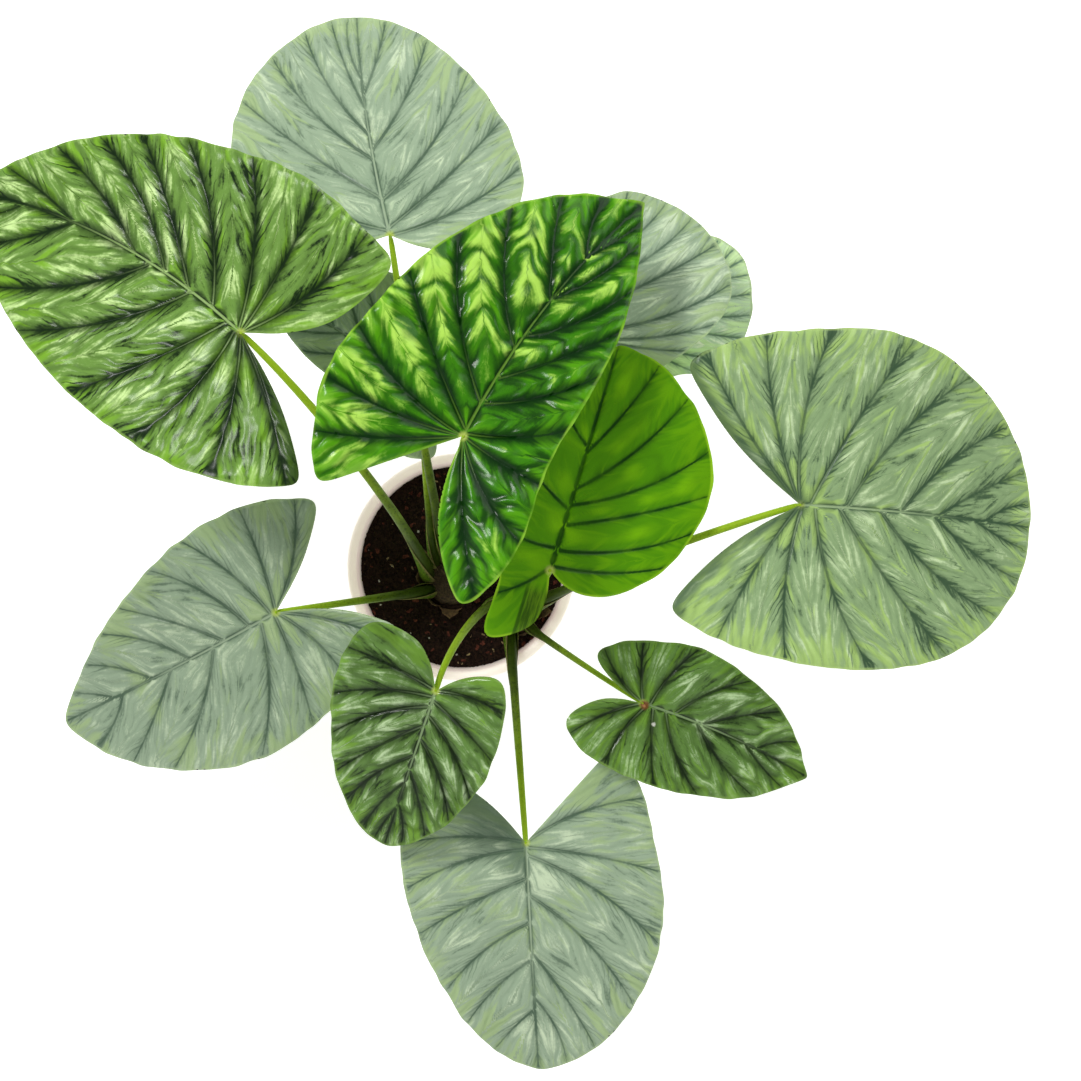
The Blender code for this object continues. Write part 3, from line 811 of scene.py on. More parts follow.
def upper_material(number, leaf, look, settings):
    """The upper side: pale crests and darker hollows, partly the leaf's own pattern and partly
    painted highlight and painted shade, and dark veins, with long brushed streaks that lean away
    from the veins, barbs that taper off them, a pale rim and a yellow-green joint. Some lobes get
    painted shade along the notch, and the bright leaf a painted highlight over its outer left
    half."""
    t = Tree(f"blade_{number:02d}_upper")
    notch, signed, between = t.split(t.attribute("flow"))
    forward, left, away = t.split(t.attribute("place"))
    inset, width, swell = t.split(t.attribute("trim"))
    phase, vein_number, gap = t.split(t.attribute("weave"))
    spot = t.joined(forward, left, 37.0 * number)
    distance = t.math("ABSOLUTE", signed)
    apart = t.ramp(between, 0.62, 0.95, 1.0, 0.0)
    pale, mid, dark, accent = (toned(getattr(look, k), leaf.tone)
                               for k in ("pale", "mid", "dark", "accent"))

    drift = t.centred(t.noise(spot, 0.045, 3.0))
    mottle = t.centred(t.noise(spot, 0.55, 4.0, 0.62))
    lean = math.atan2(1.0, look.slant)
    over = t.summed(t.times(distance, math.cos(lean)), (away, -math.sin(lean)),
                    (t.centred(t.noise(spot, 0.05, 2.0)), 6.0))
    run = t.plus(t.times(away, math.cos(lean)), t.times(distance, math.sin(lean)))

    def brushed(seed, reach, breadth, detail):
        """Long soft streaks: reach and breadth are their sizes in millimetres."""
        drawn = t.joined(t.times(run, 1.0 / reach), t.times(over, 1.0 / breadth), seed * number)
        return t.centred(t.noise(drawn, 1.0, detail, 0.6))

    stroke = brushed(5.0, 24.0, 2.6, 3.0)
    band = brushed(9.0, 44.0, 7.5, 2.0)
    leafy = t.plus(brushed(13.0, 34.0, 6.0, 2.0), t.ramp(inset, 2.0, 26.0, 0.10, -0.03))
    patch = t.ramp(t.noise(t.joined(forward, left, 11.0 * number), 0.050, 2.0), 0.40, 0.60)

    crest = t.times(t.math("ABSOLUTE", t.centred(t.math("FRACT", phase))), 2.0)
    amount = look.mottle
    outer = t.ramp(away, 10.0, 60.0, 0.2, 1.0)
    # Strength of the folds' painted highlight on their crests and painted shade in their hollows,
    # growing towards the margin.
    painted_fold_light = t.times(outer, look.folds / MM)
    # Painted highlight: the outer left half is painted paler and the part near the joint darker,
    # as if the leaf faced the light on its left.
    painted_lit_half = t.plus(t.ramp(left, -45.0, 60.0, -0.24, 0.22), t.times(t.plus(outer, -1.0), 0.30))
    # How pale each point is painted: paler on the quilting's crests and darker by the veins,
    # partly the leaf's own pattern and partly painted highlight and painted shade; paler on the
    # folds' crests and darker in their hollows, as painted highlight and painted shade; the leaf's
    # own streaks, drift and mottling; and the bright leaf's painted highlight over its outer left
    # half.
    body = t.summed(0.5, (t.plus(swell, -0.60), 0.80 - 0.45 * amount),
                    (t.centred(crest), t.times(painted_fold_light, 0.55)), (stroke, 1.5 * amount),
                    (band, 1.3 * amount), (drift, 0.9 * amount), (painted_lit_half, look.bleach),
                    (mottle, 0.5 * amount))
    surface = t.mix(t.ramp(body, 0.06, 0.42), halfway(mid, dark), mid)
    surface = t.mix(t.ramp(body, 0.52, 1.02), surface, pale)
    # The darkest parts are painted dark: the leaf's own streaks, with painted shade in the hollows
    # of the folds and of the quilting.
    surface = t.mix(t.ramp(body, 0.0, 0.30, look.streaks, 0.0), surface, dark)
    surface = t.mix(t.ramp(leafy, 0.02, 0.16, 0.0, 0.75), surface, accent)

    turns = t.summed(t.times(away, 3.0 * MM / look.spacing),
                     (distance, -2.4 * MM * look.slant / look.spacing),
                     (t.centred(t.noise(spot, 0.10, 2.0)), 1.6))
    side = t.plus(vein_number, t.times(t.math("SIGN", signed), 0.3))
    pair = t.joined(t.math("FLOOR", turns), side, number)
    luck = t.put("ShaderNodeTexWhiteNoise", {0: pair}, noise_dimensions="3D").outputs["Value"]
    tooth = t.times(t.math("ABSOLUTE", t.centred(t.math("FRACT", turns))), 2.0)
    span = t.times(t.plus(0.35, t.times(luck, 0.9)), t.math("MINIMUM", t.times(gap, 0.45), 11.0))
    taper = t.math("SUBTRACT", 1.0, t.math("DIVIDE", distance, t.plus(span, 0.2)))
    barb = t.ramp(t.math("SUBTRACT", t.plus(t.times(taper, 0.75), t.times(mottle, 0.5)), tooth),
                  0.0, 0.35)
    barb = t.times(t.times(barb, t.ramp(taper, 0.0, 0.25)), t.plus(0.15, t.times(patch, 0.85)))
    barb = t.times(barb, t.ramp(luck, 0.05, 0.6, 0.25, 1.0))
    surface = t.mix(t.times(barb, look.streaks), surface, dark)
    # Painted shade in the hollows of the folds.
    painted_fold_shade = t.times(t.ramp(crest, 0.05, 0.60, 1.0, 0.0), t.ramp(distance, 0.5, 2.5))
    surface = t.mix(t.times(painted_fold_shade, t.times(painted_fold_light, 0.55)), surface, dark)

    steady = 0.50 + 0.30 * look.halo
    strength = t.plus(steady, t.times(patch, 1.0 - steady))
    spread = t.math("DIVIDE", distance, t.plus(0.45, t.times(width, 0.45)))
    halo = t.ramp(t.plus(spread, t.times(mottle, 2.0)), 0.7, 2.5 + 5.0 * look.halo, look.halo, 0.0)
    surface = t.mix(t.times(t.times(halo, apart), strength), surface, dark)
    line = t.math("DIVIDE", t.plus(distance, t.times(mottle, 0.9)), width)
    vein = t.times(t.ramp(line, 0.35, 1.35, 1.0, 0.0), apart)
    surface = t.mix(t.times(vein, strength), surface, dark)
    core = t.ramp(t.math("DIVIDE", distance, width), 0.20, 0.55, 1.0, 0.0)
    core = t.times(core, t.times(apart, t.ramp(width, 0.9, 1.5)))
    surface = t.mix(t.times(core, 0.75 * amount), surface, halfway(mid, pale))
    edge = t.ramp(inset, 0.4 * settings.rim_width / MM, 1.5 * settings.rim_width / MM, 1.0, 0.0)
    surface = t.mix(t.times(edge, t.plus(0.20, t.times(patch, 0.45))), surface, look.rim)
    surface = t.mix(t.ramp(away, 1.0, 4.0 - 2.5 * look.gloss, 0.95, 0.0), surface, settings.joint)
    # Painted shade along the notch on the lobes that turn down there.
    for hand, breadth in zip((-1.0, 1.0), NOTCH_SHADE.get(number, ())):
        if breadth:
            lobe = t.ramp(t.times(left, hand), -0.5, 1.5)
            deep = t.plus(notch, t.times(t.plus(stroke, drift), 0.5 * breadth / MM))
            shade = t.ramp(deep, 0.2 * breadth / MM, 1.1 * breadth / MM, 0.75, 0.0)
            surface = t.mix(t.times(lobe, shade), surface, dark)
    # The youngest leaf gets painted shade of a fold in its left lobe.
    if number == 4:
        surface = painted_lobe_fold(t, forward, left, stroke, surface)
    if number == 8:
        surface = scarred(t, forward, left, surface)

    relief = t.plus(t.times(mottle, 0.20 + 0.20 * amount), t.times(stroke, 0.3 + 0.9 * amount))
    rough = t.plus(0.66 - 0.30 * look.gloss, t.times(mottle, 0.20))
    return t.finish(Base_Color=surface, Roughness=rough, Normal=t.bump(relief, 0.45, 0.0009),
                    Specular_IOR_Level=0.05, Coat_Weight=look.gloss,
                    Coat_Roughness=0.28 - 0.45 * look.gloss)


def painted_lobe_fold(t, forward, left, stroke, surface):
    """The olive, drawn-out inner half of the youngest leaf's left lobe, painted darker as painted
    shade of a fold that the blade's surface doesn't have, with a darker line of painted shade
    along that fold.
    """
    lengthwise = t.noise(t.joined(t.times(forward, 0.05), t.times(left, 0.55), 3.0), 1.0, 3.0, 0.6)
    olive = t.mix(t.ramp(lengthwise, 0.36, 0.64), paint(40, 66, 8), paint(96, 134, 22))
    inner = t.ramp(t.plus(left, t.times(stroke, 5.0)), 7.0, 9.5, 1.0, 0.0)
    behind = t.ramp(forward, -16.0, -7.0, 1.0, 0.0)
    painted_fold_line = t.times(t.ramp(t.math("ABSOLUTE", t.plus(left, -9.0)), 0.4, 1.4, 0.7, 0.0), behind)
    surface = t.mix(t.times(t.times(inner, behind), 0.85), surface, olive)
    return t.mix(painted_fold_line, surface, paint(24, 52, 4))


def scarred(t, forward, left, surface):
    """A small brown scar by the joint and a white fleck beside it."""
    def blot(x, y, inner, outer):
        """1 within about inner mm of a plan point, and 0 beyond about outer mm."""
        gap = t.put("ShaderNodeVectorMath", {0: t.joined(forward, left, 0.0), 1: (x, y, 0.0)},
                    operation="DISTANCE").outputs["Value"]
        return t.ramp(t.plus(gap, t.times(t.noise(t.joined(forward, left, 5.0), 0.6), 1.6)),
                      inner, outer, 1.0, 0.0)
    surface = t.mix(blot(1.5, -0.5, 2.2, 4.4), surface, (0.20, 0.075, 0.02))
    surface = t.mix(blot(1.2, -1.0, 1.2, 2.2), surface, (0.50, 0.24, 0.10))
    return t.mix(blot(11.0, -8.5, 1.4, 2.4), surface, (0.62, 0.62, 0.55))


def under_material(number, leaf, settings):
    """The underside: paler, duller, with lighter ribs and a fine net of veins."""
    t = Tree(f"blade_{number:02d}_under")
    _, signed, between = t.split(t.attribute("flow"))
    forward, left, _ = t.split(t.attribute("place"))
    _, width, _ = t.split(t.attribute("trim"))
    spot = t.joined(forward, left, 53.0 * number)
    ratio = t.math("DIVIDE", t.math("ABSOLUTE", signed), width)
    rib = t.times(t.ramp(ratio, 0.5, 1.6, 1.0, 0.0), t.ramp(between, 0.6, 0.95, 1.0, 0.0))
    net = t.ramp(t.cells(spot, 0.35), 0.35, 0.75)
    base = toned(settings.under, leaf.tone)
    surface = t.mix(t.times(net, 0.35), base, toned(base, 1.35))
    cloud = t.ramp(t.noise(spot, 0.08, 3.0), 0.4, 0.7, 0.0, 0.4)
    surface = t.mix(cloud, surface, toned(base, 0.75))
    surface = t.mix(rib, surface, settings.under_vein)
    normal = t.bump(t.plus(t.times(net, 0.5), t.noise(spot, 1.2, 2.0)), 0.3, 0.0005)
    return t.finish(Base_Color=surface, Roughness=0.62, Normal=normal)


# ---------------------------------------------------------------- stalks and sheaths

def stalk_line(number):
    """A stalk's centre line from its foot to its blade's joint, and its radii."""
    centres, radii = stalk_rings(f"leaf_stalk_{number:02d}")
    joint = BladeShape(number).joint
    line = [*centres[:-1], 0.5 * (centres[-1] + joint), joint]
    return line, [*radii[:-1], radii[-1], 0.8 * radii[-1]]


def tube_tree(material):
    """Sweeps a round section along a curve, and keeps how far along it each point is."""
    g = Growth("stalk_tube", {"Curve": "Geometry", "Rows": "Int", "Sides": "Int"}, "Tube")
    rows = g.put("GeometryNodeResampleCurve",
                 {"Curve": g.given["Curve"], "Count": g.given["Rows"]})
    along = g.put("GeometryNodeSplineParameter", {})
    keep = g.put("GeometryNodeStoreNamedAttribute",
                 {"Geometry": rows.outputs["Curve"], "Name": "along",
                  "Value": along.outputs["Factor"]}, data_type="FLOAT", domain="POINT")
    circle = g.put("GeometryNodeCurvePrimitiveCircle",
                   {"Radius": 1.0, "Resolution": g.given["Sides"]})
    radius = g.put("GeometryNodeInputRadius", {})
    sweep = g.put("GeometryNodeCurveToMesh",
                  {"Curve": keep.outputs["Geometry"], "Profile Curve": circle.outputs["Curve"],
                   "Scale": radius.outputs["Radius"], "Fill Caps": True})
    return g.finish(sweep.outputs["Mesh"], material)


def run_tree(carrier, tree, name, inputs):
    """Runs a geometry tree on an object and returns the result as a new mesh object."""
    modifier = carrier.modifiers.new(tree.name, "NODES")
    modifier.node_group = tree
    for item in tree.interface.items_tree:
        if item.in_out == "INPUT" and item.name in inputs:
            modifier[item.identifier] = inputs[item.name]
    depsgraph = bpy.context.evaluated_depsgraph_get()
    mesh = bpy.data.meshes.new_from_object(carrier.evaluated_get(depsgraph))
    mesh.name = name
    carrier.modifiers.remove(modifier)
    piece = bpy.data.objects.new(name, mesh)
    bpy.context.scene.collection.objects.link(piece)
    return piece


def build_stalk(number, tree, settings):
    """A stalk, swept along its line. Returns the line's points and radii for its sheath."""
    line, radii = stalk_line(number)
    fine = smooth_line(line, 48)
    knots = np.linspace(0.0, 1.0, len(radii))
    widths = np.interp(np.linspace(0.0, 1.0, len(fine)), knots, radii)
    widths[-2:] *= (0.85, 0.45)
    curve = bpy.data.curves.new(f"stalk_line_{number:02d}", "CURVE")
    curve.dimensions = "3D"
    spline = curve.splines.new("POLY")
    spline.points.add(len(fine) - 1)
    for point, place, radius in zip(spline.points, fine, widths):
        point.co = (*place, 1.0)
        point.radius = radius
    carrier = bpy.data.objects.new(curve.name, curve)
    bpy.context.scene.collection.objects.link(carrier)
    piece = run_tree(carrier, tree, f"stalk_{number:02d}",
                     {"Rows": settings.rows, "Sides": settings.sides})
    bpy.data.objects.remove(carrier)
    piece.data.shade_smooth()
    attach(piece, "root")
    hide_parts(f"leaf_stalk_{number:02d}")
    return fine, widths


def facing_out(piece):
    """Turns every face of a closed piece outwards."""
    bm = bmesh.new()
    bm.from_mesh(piece.data)
    bmesh.ops.recalc_face_normals(bm, faces=bm.faces)
    bm.to_mesh(piece.data)
    bm.free()


def build_sheath(number, fine, widths, settings, material):
    """The thin wall that wraps the foot of a stalk, open towards the younger leaves."""
    rows, across = SHEATH_ROWS, SHEATH_ACROSS
    last = int(settings.sheath_reach * (len(fine) - 1))
    where = np.linspace(0.0, last, rows)
    index = np.arange(len(fine))
    centre = np.column_stack([np.interp(where, index, fine[:, k]) for k in range(3)])
    radius = np.interp(where, index, widths)
    crown = np.array(nearest_crown(centre[0]))
    back = centre[0] - crown
    back[2] = 0.0
    if np.linalg.norm(back) < 4 * MM:
        back = fine[-1] - fine[0]
        back[2] = 0.0
    wrap = LEAVES[number].sheath
    points, edge = [], []
    for k in range(rows):
        s = k / (rows - 1)
        along = centre[min(k + 1, rows - 1)] - centre[max(k - 1, 0)]
        along /= np.linalg.norm(along)
        out = back - along * (back @ along)
        out /= np.linalg.norm(out)
        side = np.cross(along, out)
        half = math.radians(150 - 118 * s ** 1.3)
        flare = 1.0 + (0.55 * wrap * (1.0 - s) ** 0.8)
        for wall in (1, 0):
            for j in range(across):
                a = half * (2 * j / (across - 1) - 1)
                thin = settings.sheath_skin * (1.0 - abs(a / half) ** 4) * (1.0 - s ** 6)
                r = radius[k] * (1.02 + (flare - 1.0) * (0.45 + 0.55 * abs(a / half) ** 2))
                r = max(r - 0.12 * radius[k], 0.9 * radius[k]) + wall * (thin + 0.00012)
                ripple = 1.0 + 0.03 * math.sin(9 * s + 3 * a + number)
                points.append(centre[k] + (out * math.cos(a) + side * math.sin(a)) * r * ripple)
                edge.append((s, abs(a / half), wall))
    loop = list(range(across)) + list(range(2 * across - 1, across - 1, -1))
    faces = []
    for k in range(rows - 1):
        low, high = 2 * across * k, 2 * across * (k + 1)
        for i, here in enumerate(loop):
            there = loop[(i + 1) % len(loop)]
            faces.append((low + here, low + there, high + there, high + here))
    faces.append(loop[::-1])
    faces.append([2 * across * (rows - 1) + i for i in loop])
    piece = mesh_object(f"sheath_{number:02d}", points, faces, (material,))
    store(piece, "edge", edge)
    facing_out(piece)
    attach(piece, "root")


def stalk_material(settings):
    """Dark and flecked at the foot, and yellow-green at the blade."""
    t = Tree("stalk_skin")
    along = t.put("ShaderNodeAttribute", {}, attribute_name="along").outputs["Fac"]
    place = t.position()
    drawn = t.scaled(place, (1.0, 1.0, 0.22))
    fleck = t.ramp(t.noise(drawn, 0.9, 3.0, 0.6), 0.50, 0.66)
    broad = t.noise(drawn, 0.12, 2.0)
    base = t.mix(t.ramp(t.plus(along, t.times(t.centred(broad), 0.35)), 0.20, 0.90),
                 settings.low, settings.high)
    surface = t.mix(t.times(fleck, t.ramp(along, 0.35, 0.95, 0.55, 0.12)), base, settings.fleck)
    lines = t.noise(t.scaled(place, (1.0, 1.0, 0.05)), 2.2, 2.0)
    normal = t.bump(lines, 0.25, 0.0004)
    return t.finish(Base_Color=surface, Roughness=0.42, Normal=normal, Specular_IOR_Level=0.10)


def sheath_material(settings):
    """Streaked green, with a dry edge and foot."""
    t = Tree("sheath_skin")
    up, side, _ = t.split(t.attribute("edge"))
    place = t.scaled(t.position(), (1.0, 1.0, 0.15))
    streak = t.noise(place, 1.4, 3.0)
    surface = t.mix(t.ramp(streak, 0.35, 0.65), settings.low, settings.sheath)
    worn = t.plus(side, t.times(t.centred(streak), 0.25))
    surface = t.mix(t.ramp(worn, 0.82, 1.0, 0.0, 0.8), surface, settings.sheath_edge)
    surface = t.mix(t.ramp(up, 0.0, 0.12, 0.55, 0.0), surface, settings.sheath_edge)
    normal = t.bump(streak, 0.3, 0.0004)
    return t.finish(Base_Color=surface, Roughness=0.5, Normal=normal, Specular_IOR_Level=0.12)


# ---------------------------------------------------------------- rhizomes and mix

def box_of(node):
    """A node's middle in plan, its half width, and its lowest and highest z."""
    low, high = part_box(node)
    return 0.5 * (low.x + high.x), 0.5 * (low.y + high.y), 0.5 * (high.x - low.x), low.z, high.z


def nearest_crown(point):
    """The middle of the top of the rhizome that lies nearest to a point."""
    crowns = [box_of(node) for node in CROWNS]
    x, y, _, _, top = min(crowns, key=lambda c: math.hypot(c[0] - point[0], c[1] - point[1]))
    return x, y, top


def turned_grid(profile, segments, wobble=None):
    """Points and faces of a shape turned about Z. profile is (radius, z) from axis to axis, and
    wobble, if given, moves each point."""
    points, faces, rows = [], [], []
    for radius, z in profile:
        if radius == 0.0:
            rows.append([len(points)] * segments)
            points.append((0.0, 0.0, z))
            continue
        rows.append(list(range(len(points), len(points) + segments)))
        for i in range(segments):
            angle = math.tau * i / segments
            points.append((radius * math.cos(angle), radius * math.sin(angle), z))
    for lower, upper in zip(rows, rows[1:]):
        for i in range(segments):
            k = (i + 1) % segments
            corners = list(dict.fromkeys((lower[i], lower[k], upper[k], upper[i])))
            if len(corners) > 2:
                faces.append(corners)
    if wobble is not None:
        points = [wobble(Vector(p)) for p in points]
    return points, faces


def build_rhizome(node, material):
    """A stub with rings of old leaf scars and a rough skin, domed between the stalks."""
    x, y, radius, low, high = box_of(node)
    rows = 34
    profile = [(0.0, low)]
    for k in range(rows):
        s = k / (rows - 1)
        ring = 1.0 + 0.025 * math.sin(s * 26.0)
        bulge = math.sin(math.pi * min(1.0, 0.18 + 0.62 * s)) ** 0.6
        profile.append((radius * 0.98 * bulge * ring, low + (high - low) * s ** 0.9))
    top = profile[-1][0]
    for k in range(1, 9):
        profile.append((top * (1.0 - k / 8), high + 0.0009 * math.sin(math.pi * 0.5 * k / 8)))
    profile[-1] = (0.0, profile[-1][1])

    def wobble(p):
        shake = noise.noise(p * 180.0) * 0.0007 + noise.noise(p * 520.0) * 0.0003
        flat = Vector((p.x, p.y, 0.0))
        if flat.length > 1e-6:
            p = p + flat.normalized() * shake
        return p + Vector((x, y, shake if p.z > high - 1e-4 else 0.0))

    points, faces = turned_grid(profile, 72, wobble)
    piece = mesh_object("crown_" + node.split("_")[1], points, faces, (material,))
    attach(piece, "root")
    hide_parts(node)


def build_husks(node, count, material):
    """Dry papery scales, left from old leaves, that stand round a crown."""
    x, y, radius, _, top = box_of(node)
    rows, across = HUSK_ROWS, HUSK_ACROSS
    points, faces = [], []
    for n in range(count):
        turn = math.tau * (n + 0.35 * math.sin(5.1 * n)) / count
        tall = 0.012 + 0.007 * (0.5 + 0.5 * math.sin(7.3 * n + radius * 900))
        wide = 0.0052 + 0.0016 * math.sin(3.7 * n)
        lean = 0.15 + 0.22 * math.sin(2.9 * n + 1.0)
        first = len(points)
        for wall in (0.0, 0.00035):
            for k in range(rows):
                s = k / (rows - 1)
                half = wide * (1.0 - s ** 2.2) + 0.0002
                for j in range(across):
                    a = 2 * j / (across - 1) - 1
                    out = radius * 0.93 + tall * (lean * s + 0.25 * lean * s ** 3) + wall
                    out -= 0.0016 * a * a * (1 - s)
                    z = top - 0.003 + tall * s - 0.0012 * a * a + wall * 0.2
                    side = half * a * (1.0 + 0.1 * math.sin(11 * s + n))
                    points.append((x + out * math.cos(turn) - side * math.sin(turn),
                                   y + out * math.sin(turn) + side * math.cos(turn), z))
        size = rows * across
        for k in range(rows - 1):
            for j in range(across - 1):
                a, b = first + k * across + j, first + k * across + j + 1
                faces.append((a, b, b + across, a + across)[::-1])
                faces.append((a + size, b + size, b + across + size, a + across + size))
        rim = [first + j for j in range(across)]
        rim += [first + k * across + across - 1 for k in range(1, rows)]
        rim += [first + (rows - 1) * across + j for j in range(across - 2, -1, -1)]
        rim += [first + k * across for k in range(rows - 2, 0, -1)]
        for a, b in zip(rim, rim[1:] + rim[:1]):
            faces.append((a, b, b + size, a + size))
    piece = mesh_object("husks_" + node.split("_")[1], points, faces, (material,))
    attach(piece, "root")


def bark_skin(name, base, dark, light):
    """Dull, cracked plant skin with paler flakes."""
    t = Tree(name)
    place = t.position()
    grain = t.noise(t.scaled(place, (1.0, 1.0, 0.35)), 0.8, 4.0, 0.6)
    surface = t.mix(t.ramp(grain, 0.35, 0.65), dark, base)
    surface = t.mix(t.ramp(t.noise(place, 2.2, 2.0), 0.58, 0.75, 0.0, 0.7), surface, light)
    return t.finish(Base_Color=surface, Roughness=0.85, Normal=t.bump(grain, 0.6, 0.0008))


def build_mix_body(settings, material):
    """The mix itself, with an uneven top that falls a little towards the pot's wall."""
    x, y, radius, low, high = box_of("potting_mix")
    foot = radius * 0.80
    level = high - 0.002
    profile = [(0.0, low), (foot * 0.5, low), (foot, low)]
    profile += [(foot + (radius - foot) * k / 8, low + (level - low) * k / 8) for k in range(1, 9)]
    profile += [(radius * (1.0 - (k / 60) ** 0.9), level + 0.002 * min(1.0, k / 24))
                for k in range(1, 60)]
    profile.append((0.0, high))

    def wobble(p):
        if p.z > level - 1e-5:
            inward = min(1.0, (radius - math.hypot(p.x, p.y)) / 0.006)
            lumps = noise.noise(p * 70.0) + 0.55 * noise.noise(p * 190.0)
            lumps += 0.3 * noise.noise(p * 420.0)
            p.z += settings.rough * inward * lumps
        return p + Vector((x, y, 0.0))

    points, faces = turned_grid(profile, 180, wobble)
    piece = mesh_object("mix_body", points, faces, (material,))
    crowns = [box_of(node) for node in CROWNS]
    store(piece, "open", [float(p.z > level - 0.004 and all(
        math.hypot(p.x - c[0], p.y - c[1]) > c[2] + 0.0004 for c in crowns)) for p in points])
    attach(piece, "root")
    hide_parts("potting_mix")
    return piece


def scatter_tree(name, material):
    """Scatters squashed, roughened lumps over the open part of a surface."""
    g = Growth(name, {"Surface": "Geometry", "Density": "Float", "Smallest": "Float",
                      "Largest": "Float", "Shape": "Vector", "Seed": "Int"}, "Lumps")
    given, seed = g.given, g.given["Seed"]
    free = g.put("GeometryNodeInputNamedAttribute", {"Name": "open"}, data_type="FLOAT")
    chance = g.put("ShaderNodeMath", {0: free.outputs["Attribute"], 1: given["Density"]},
                   operation="MULTIPLY")
    spread = g.put("GeometryNodeDistributePointsOnFaces",
                   {"Mesh": given["Surface"], "Density": chance.outputs[0], "Seed": seed})
    lump = g.put("GeometryNodeMeshIcoSphere", {"Radius": 0.5, "Subdivisions": 1})
    place = g.put("GeometryNodeInputPosition", {})
    rough = g.put("ShaderNodeTexNoise", {"Vector": place.outputs[0], "Scale": 2.6})
    push = g.put("ShaderNodeVectorMath", {0: rough.outputs["Color"], 1: (0.5, 0.5, 0.5)},
                 operation="SUBTRACT")
    dent = g.put("GeometryNodeSetPosition",
                 {"Geometry": lump.outputs["Mesh"], "Offset": push.outputs[0]})
    size = g.put("FunctionNodeRandomValue",
                 {2: given["Smallest"], 3: given["Largest"], "Seed": seed})
    scale = g.put("ShaderNodeVectorMath", {0: given["Shape"], "Scale": size.outputs[1]},
                  operation="SCALE")
    turn = g.put("FunctionNodeRandomValue",
                 {0: (-0.5, -0.5, 0.0), 1: (0.5, 0.5, math.tau), "Seed": seed},
                 data_type="FLOAT_VECTOR")
    copies = g.put("GeometryNodeInstanceOnPoints",
                   {"Points": spread.outputs["Points"], "Instance": dent.outputs["Geometry"],
                    "Rotation": turn.outputs[0], "Scale": scale.outputs[0]})
    return g.finish(copies.outputs["Instances"], material)


def scatter(surface, name, material, density, smallest, largest, shape, seed):
    """One kind of lump, so many to the square metre, scattered over the mix."""
    inputs = {"Density": density, "Smallest": smallest, "Largest": largest, "Shape": shape,
              "Seed": seed}
    piece = run_tree(surface, scatter_tree(name, material), name, inputs)
    piece.data.shade_flat()
    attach(piece, "root")


def earth_material(name, dark, light):
    """Crumbly and fibrous, between a dark and a light colour."""
    t = Tree(name)
    place = t.position()
    crumb = t.noise(place, 0.55, 5.0, 0.65)
    fibre = t.noise(t.scaled(place, (0.3, 1.0, 1.0)), 1.6, 3.0)
    surface = t.mix(t.ramp(crumb, 0.38, 0.68), dark, light)
    surface = t.mix(t.ramp(fibre, 0.60, 0.75, 0.0, 0.5), surface, toned(light, 1.6))
    return t.finish(Base_Color=surface, Roughness=0.9, Normal=t.bump(crumb, 0.8, 0.001),
                    Specular_IOR_Level=0.12)


# ---------------------------------------------------------------- pot

def build_pot(settings):
    """The tapered shell, with a rounded rolled rim whose skirt hangs free, and its drain holes."""
    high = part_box("pot")[1]
    height, rim = high.z, high.x
    wall, lip, skirt = settings.wall, settings.skirt, height - settings.skirt_height
    base_inner, top_inner = pot_radii()

    def inside(z):
        """The pot's inside radius at a height."""
        return base_inner + (top_inner - base_inner) * z / height

    curl = 0.5 * (rim - inside(height))
    centre = inside(height) + curl
    profile = [(0.0, 0.0), (inside(0) + wall - 0.0016, 0.0), (inside(0) + wall - 0.0005, 0.0004),
               (inside(0.0014) + wall, 0.0014)]
    under = height - 0.0035
    profile += [(inside(z) + wall, z) for z in np.linspace(0.004, under, 12)]
    profile += [(rim - lip, under), (rim - lip, skirt), (rim - 0.4 * lip, skirt - 0.0003),
                (rim, skirt + 0.0005)]
    for k in range(13):
        a = math.pi * k / 12
        profile.append((centre + curl * math.cos(a), height - settings.curl * (1.0 - math.sin(a))))
    profile += [(inside(z), z) for z in np.linspace(height - 0.004, 0.0045, 10)]
    profile += [(inside(POT_FLOOR) - 0.0012, POT_FLOOR), (0.0, POT_FLOOR)]
    points, faces = turned_grid(profile, settings.segments)
    piece = mesh_object("pot_shell", points, faces, (pot_material(settings),))
    facing_out(piece)
    piece.data.set_sharp_from_angle(angle=math.radians(50))
    drill_holes(piece)
    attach(piece, "root")
    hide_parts("pot")


def pot_radii():
    """The pot's inside radius at its base and at its rim, read off its solid."""
    bm = solid_mesh("pot")
    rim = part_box("pot")[1].z
    rings = sorted({(round(math.hypot(v.co.x, v.co.y), 5), round(v.co.z, 5)) for v in bm.verts})
    bm.free()
    floor_ring = max(r for r, z in rings if abs(z - POT_FLOOR) < 2e-4)
    top_ring = min(r for r, z in rings if z > rim - 0.0015 and r > 0.03)
    slope = (top_ring - floor_ring) / (rim - 0.001 - POT_FLOOR)
    return floor_ring - slope * POT_FLOOR, top_ring + slope * 0.001


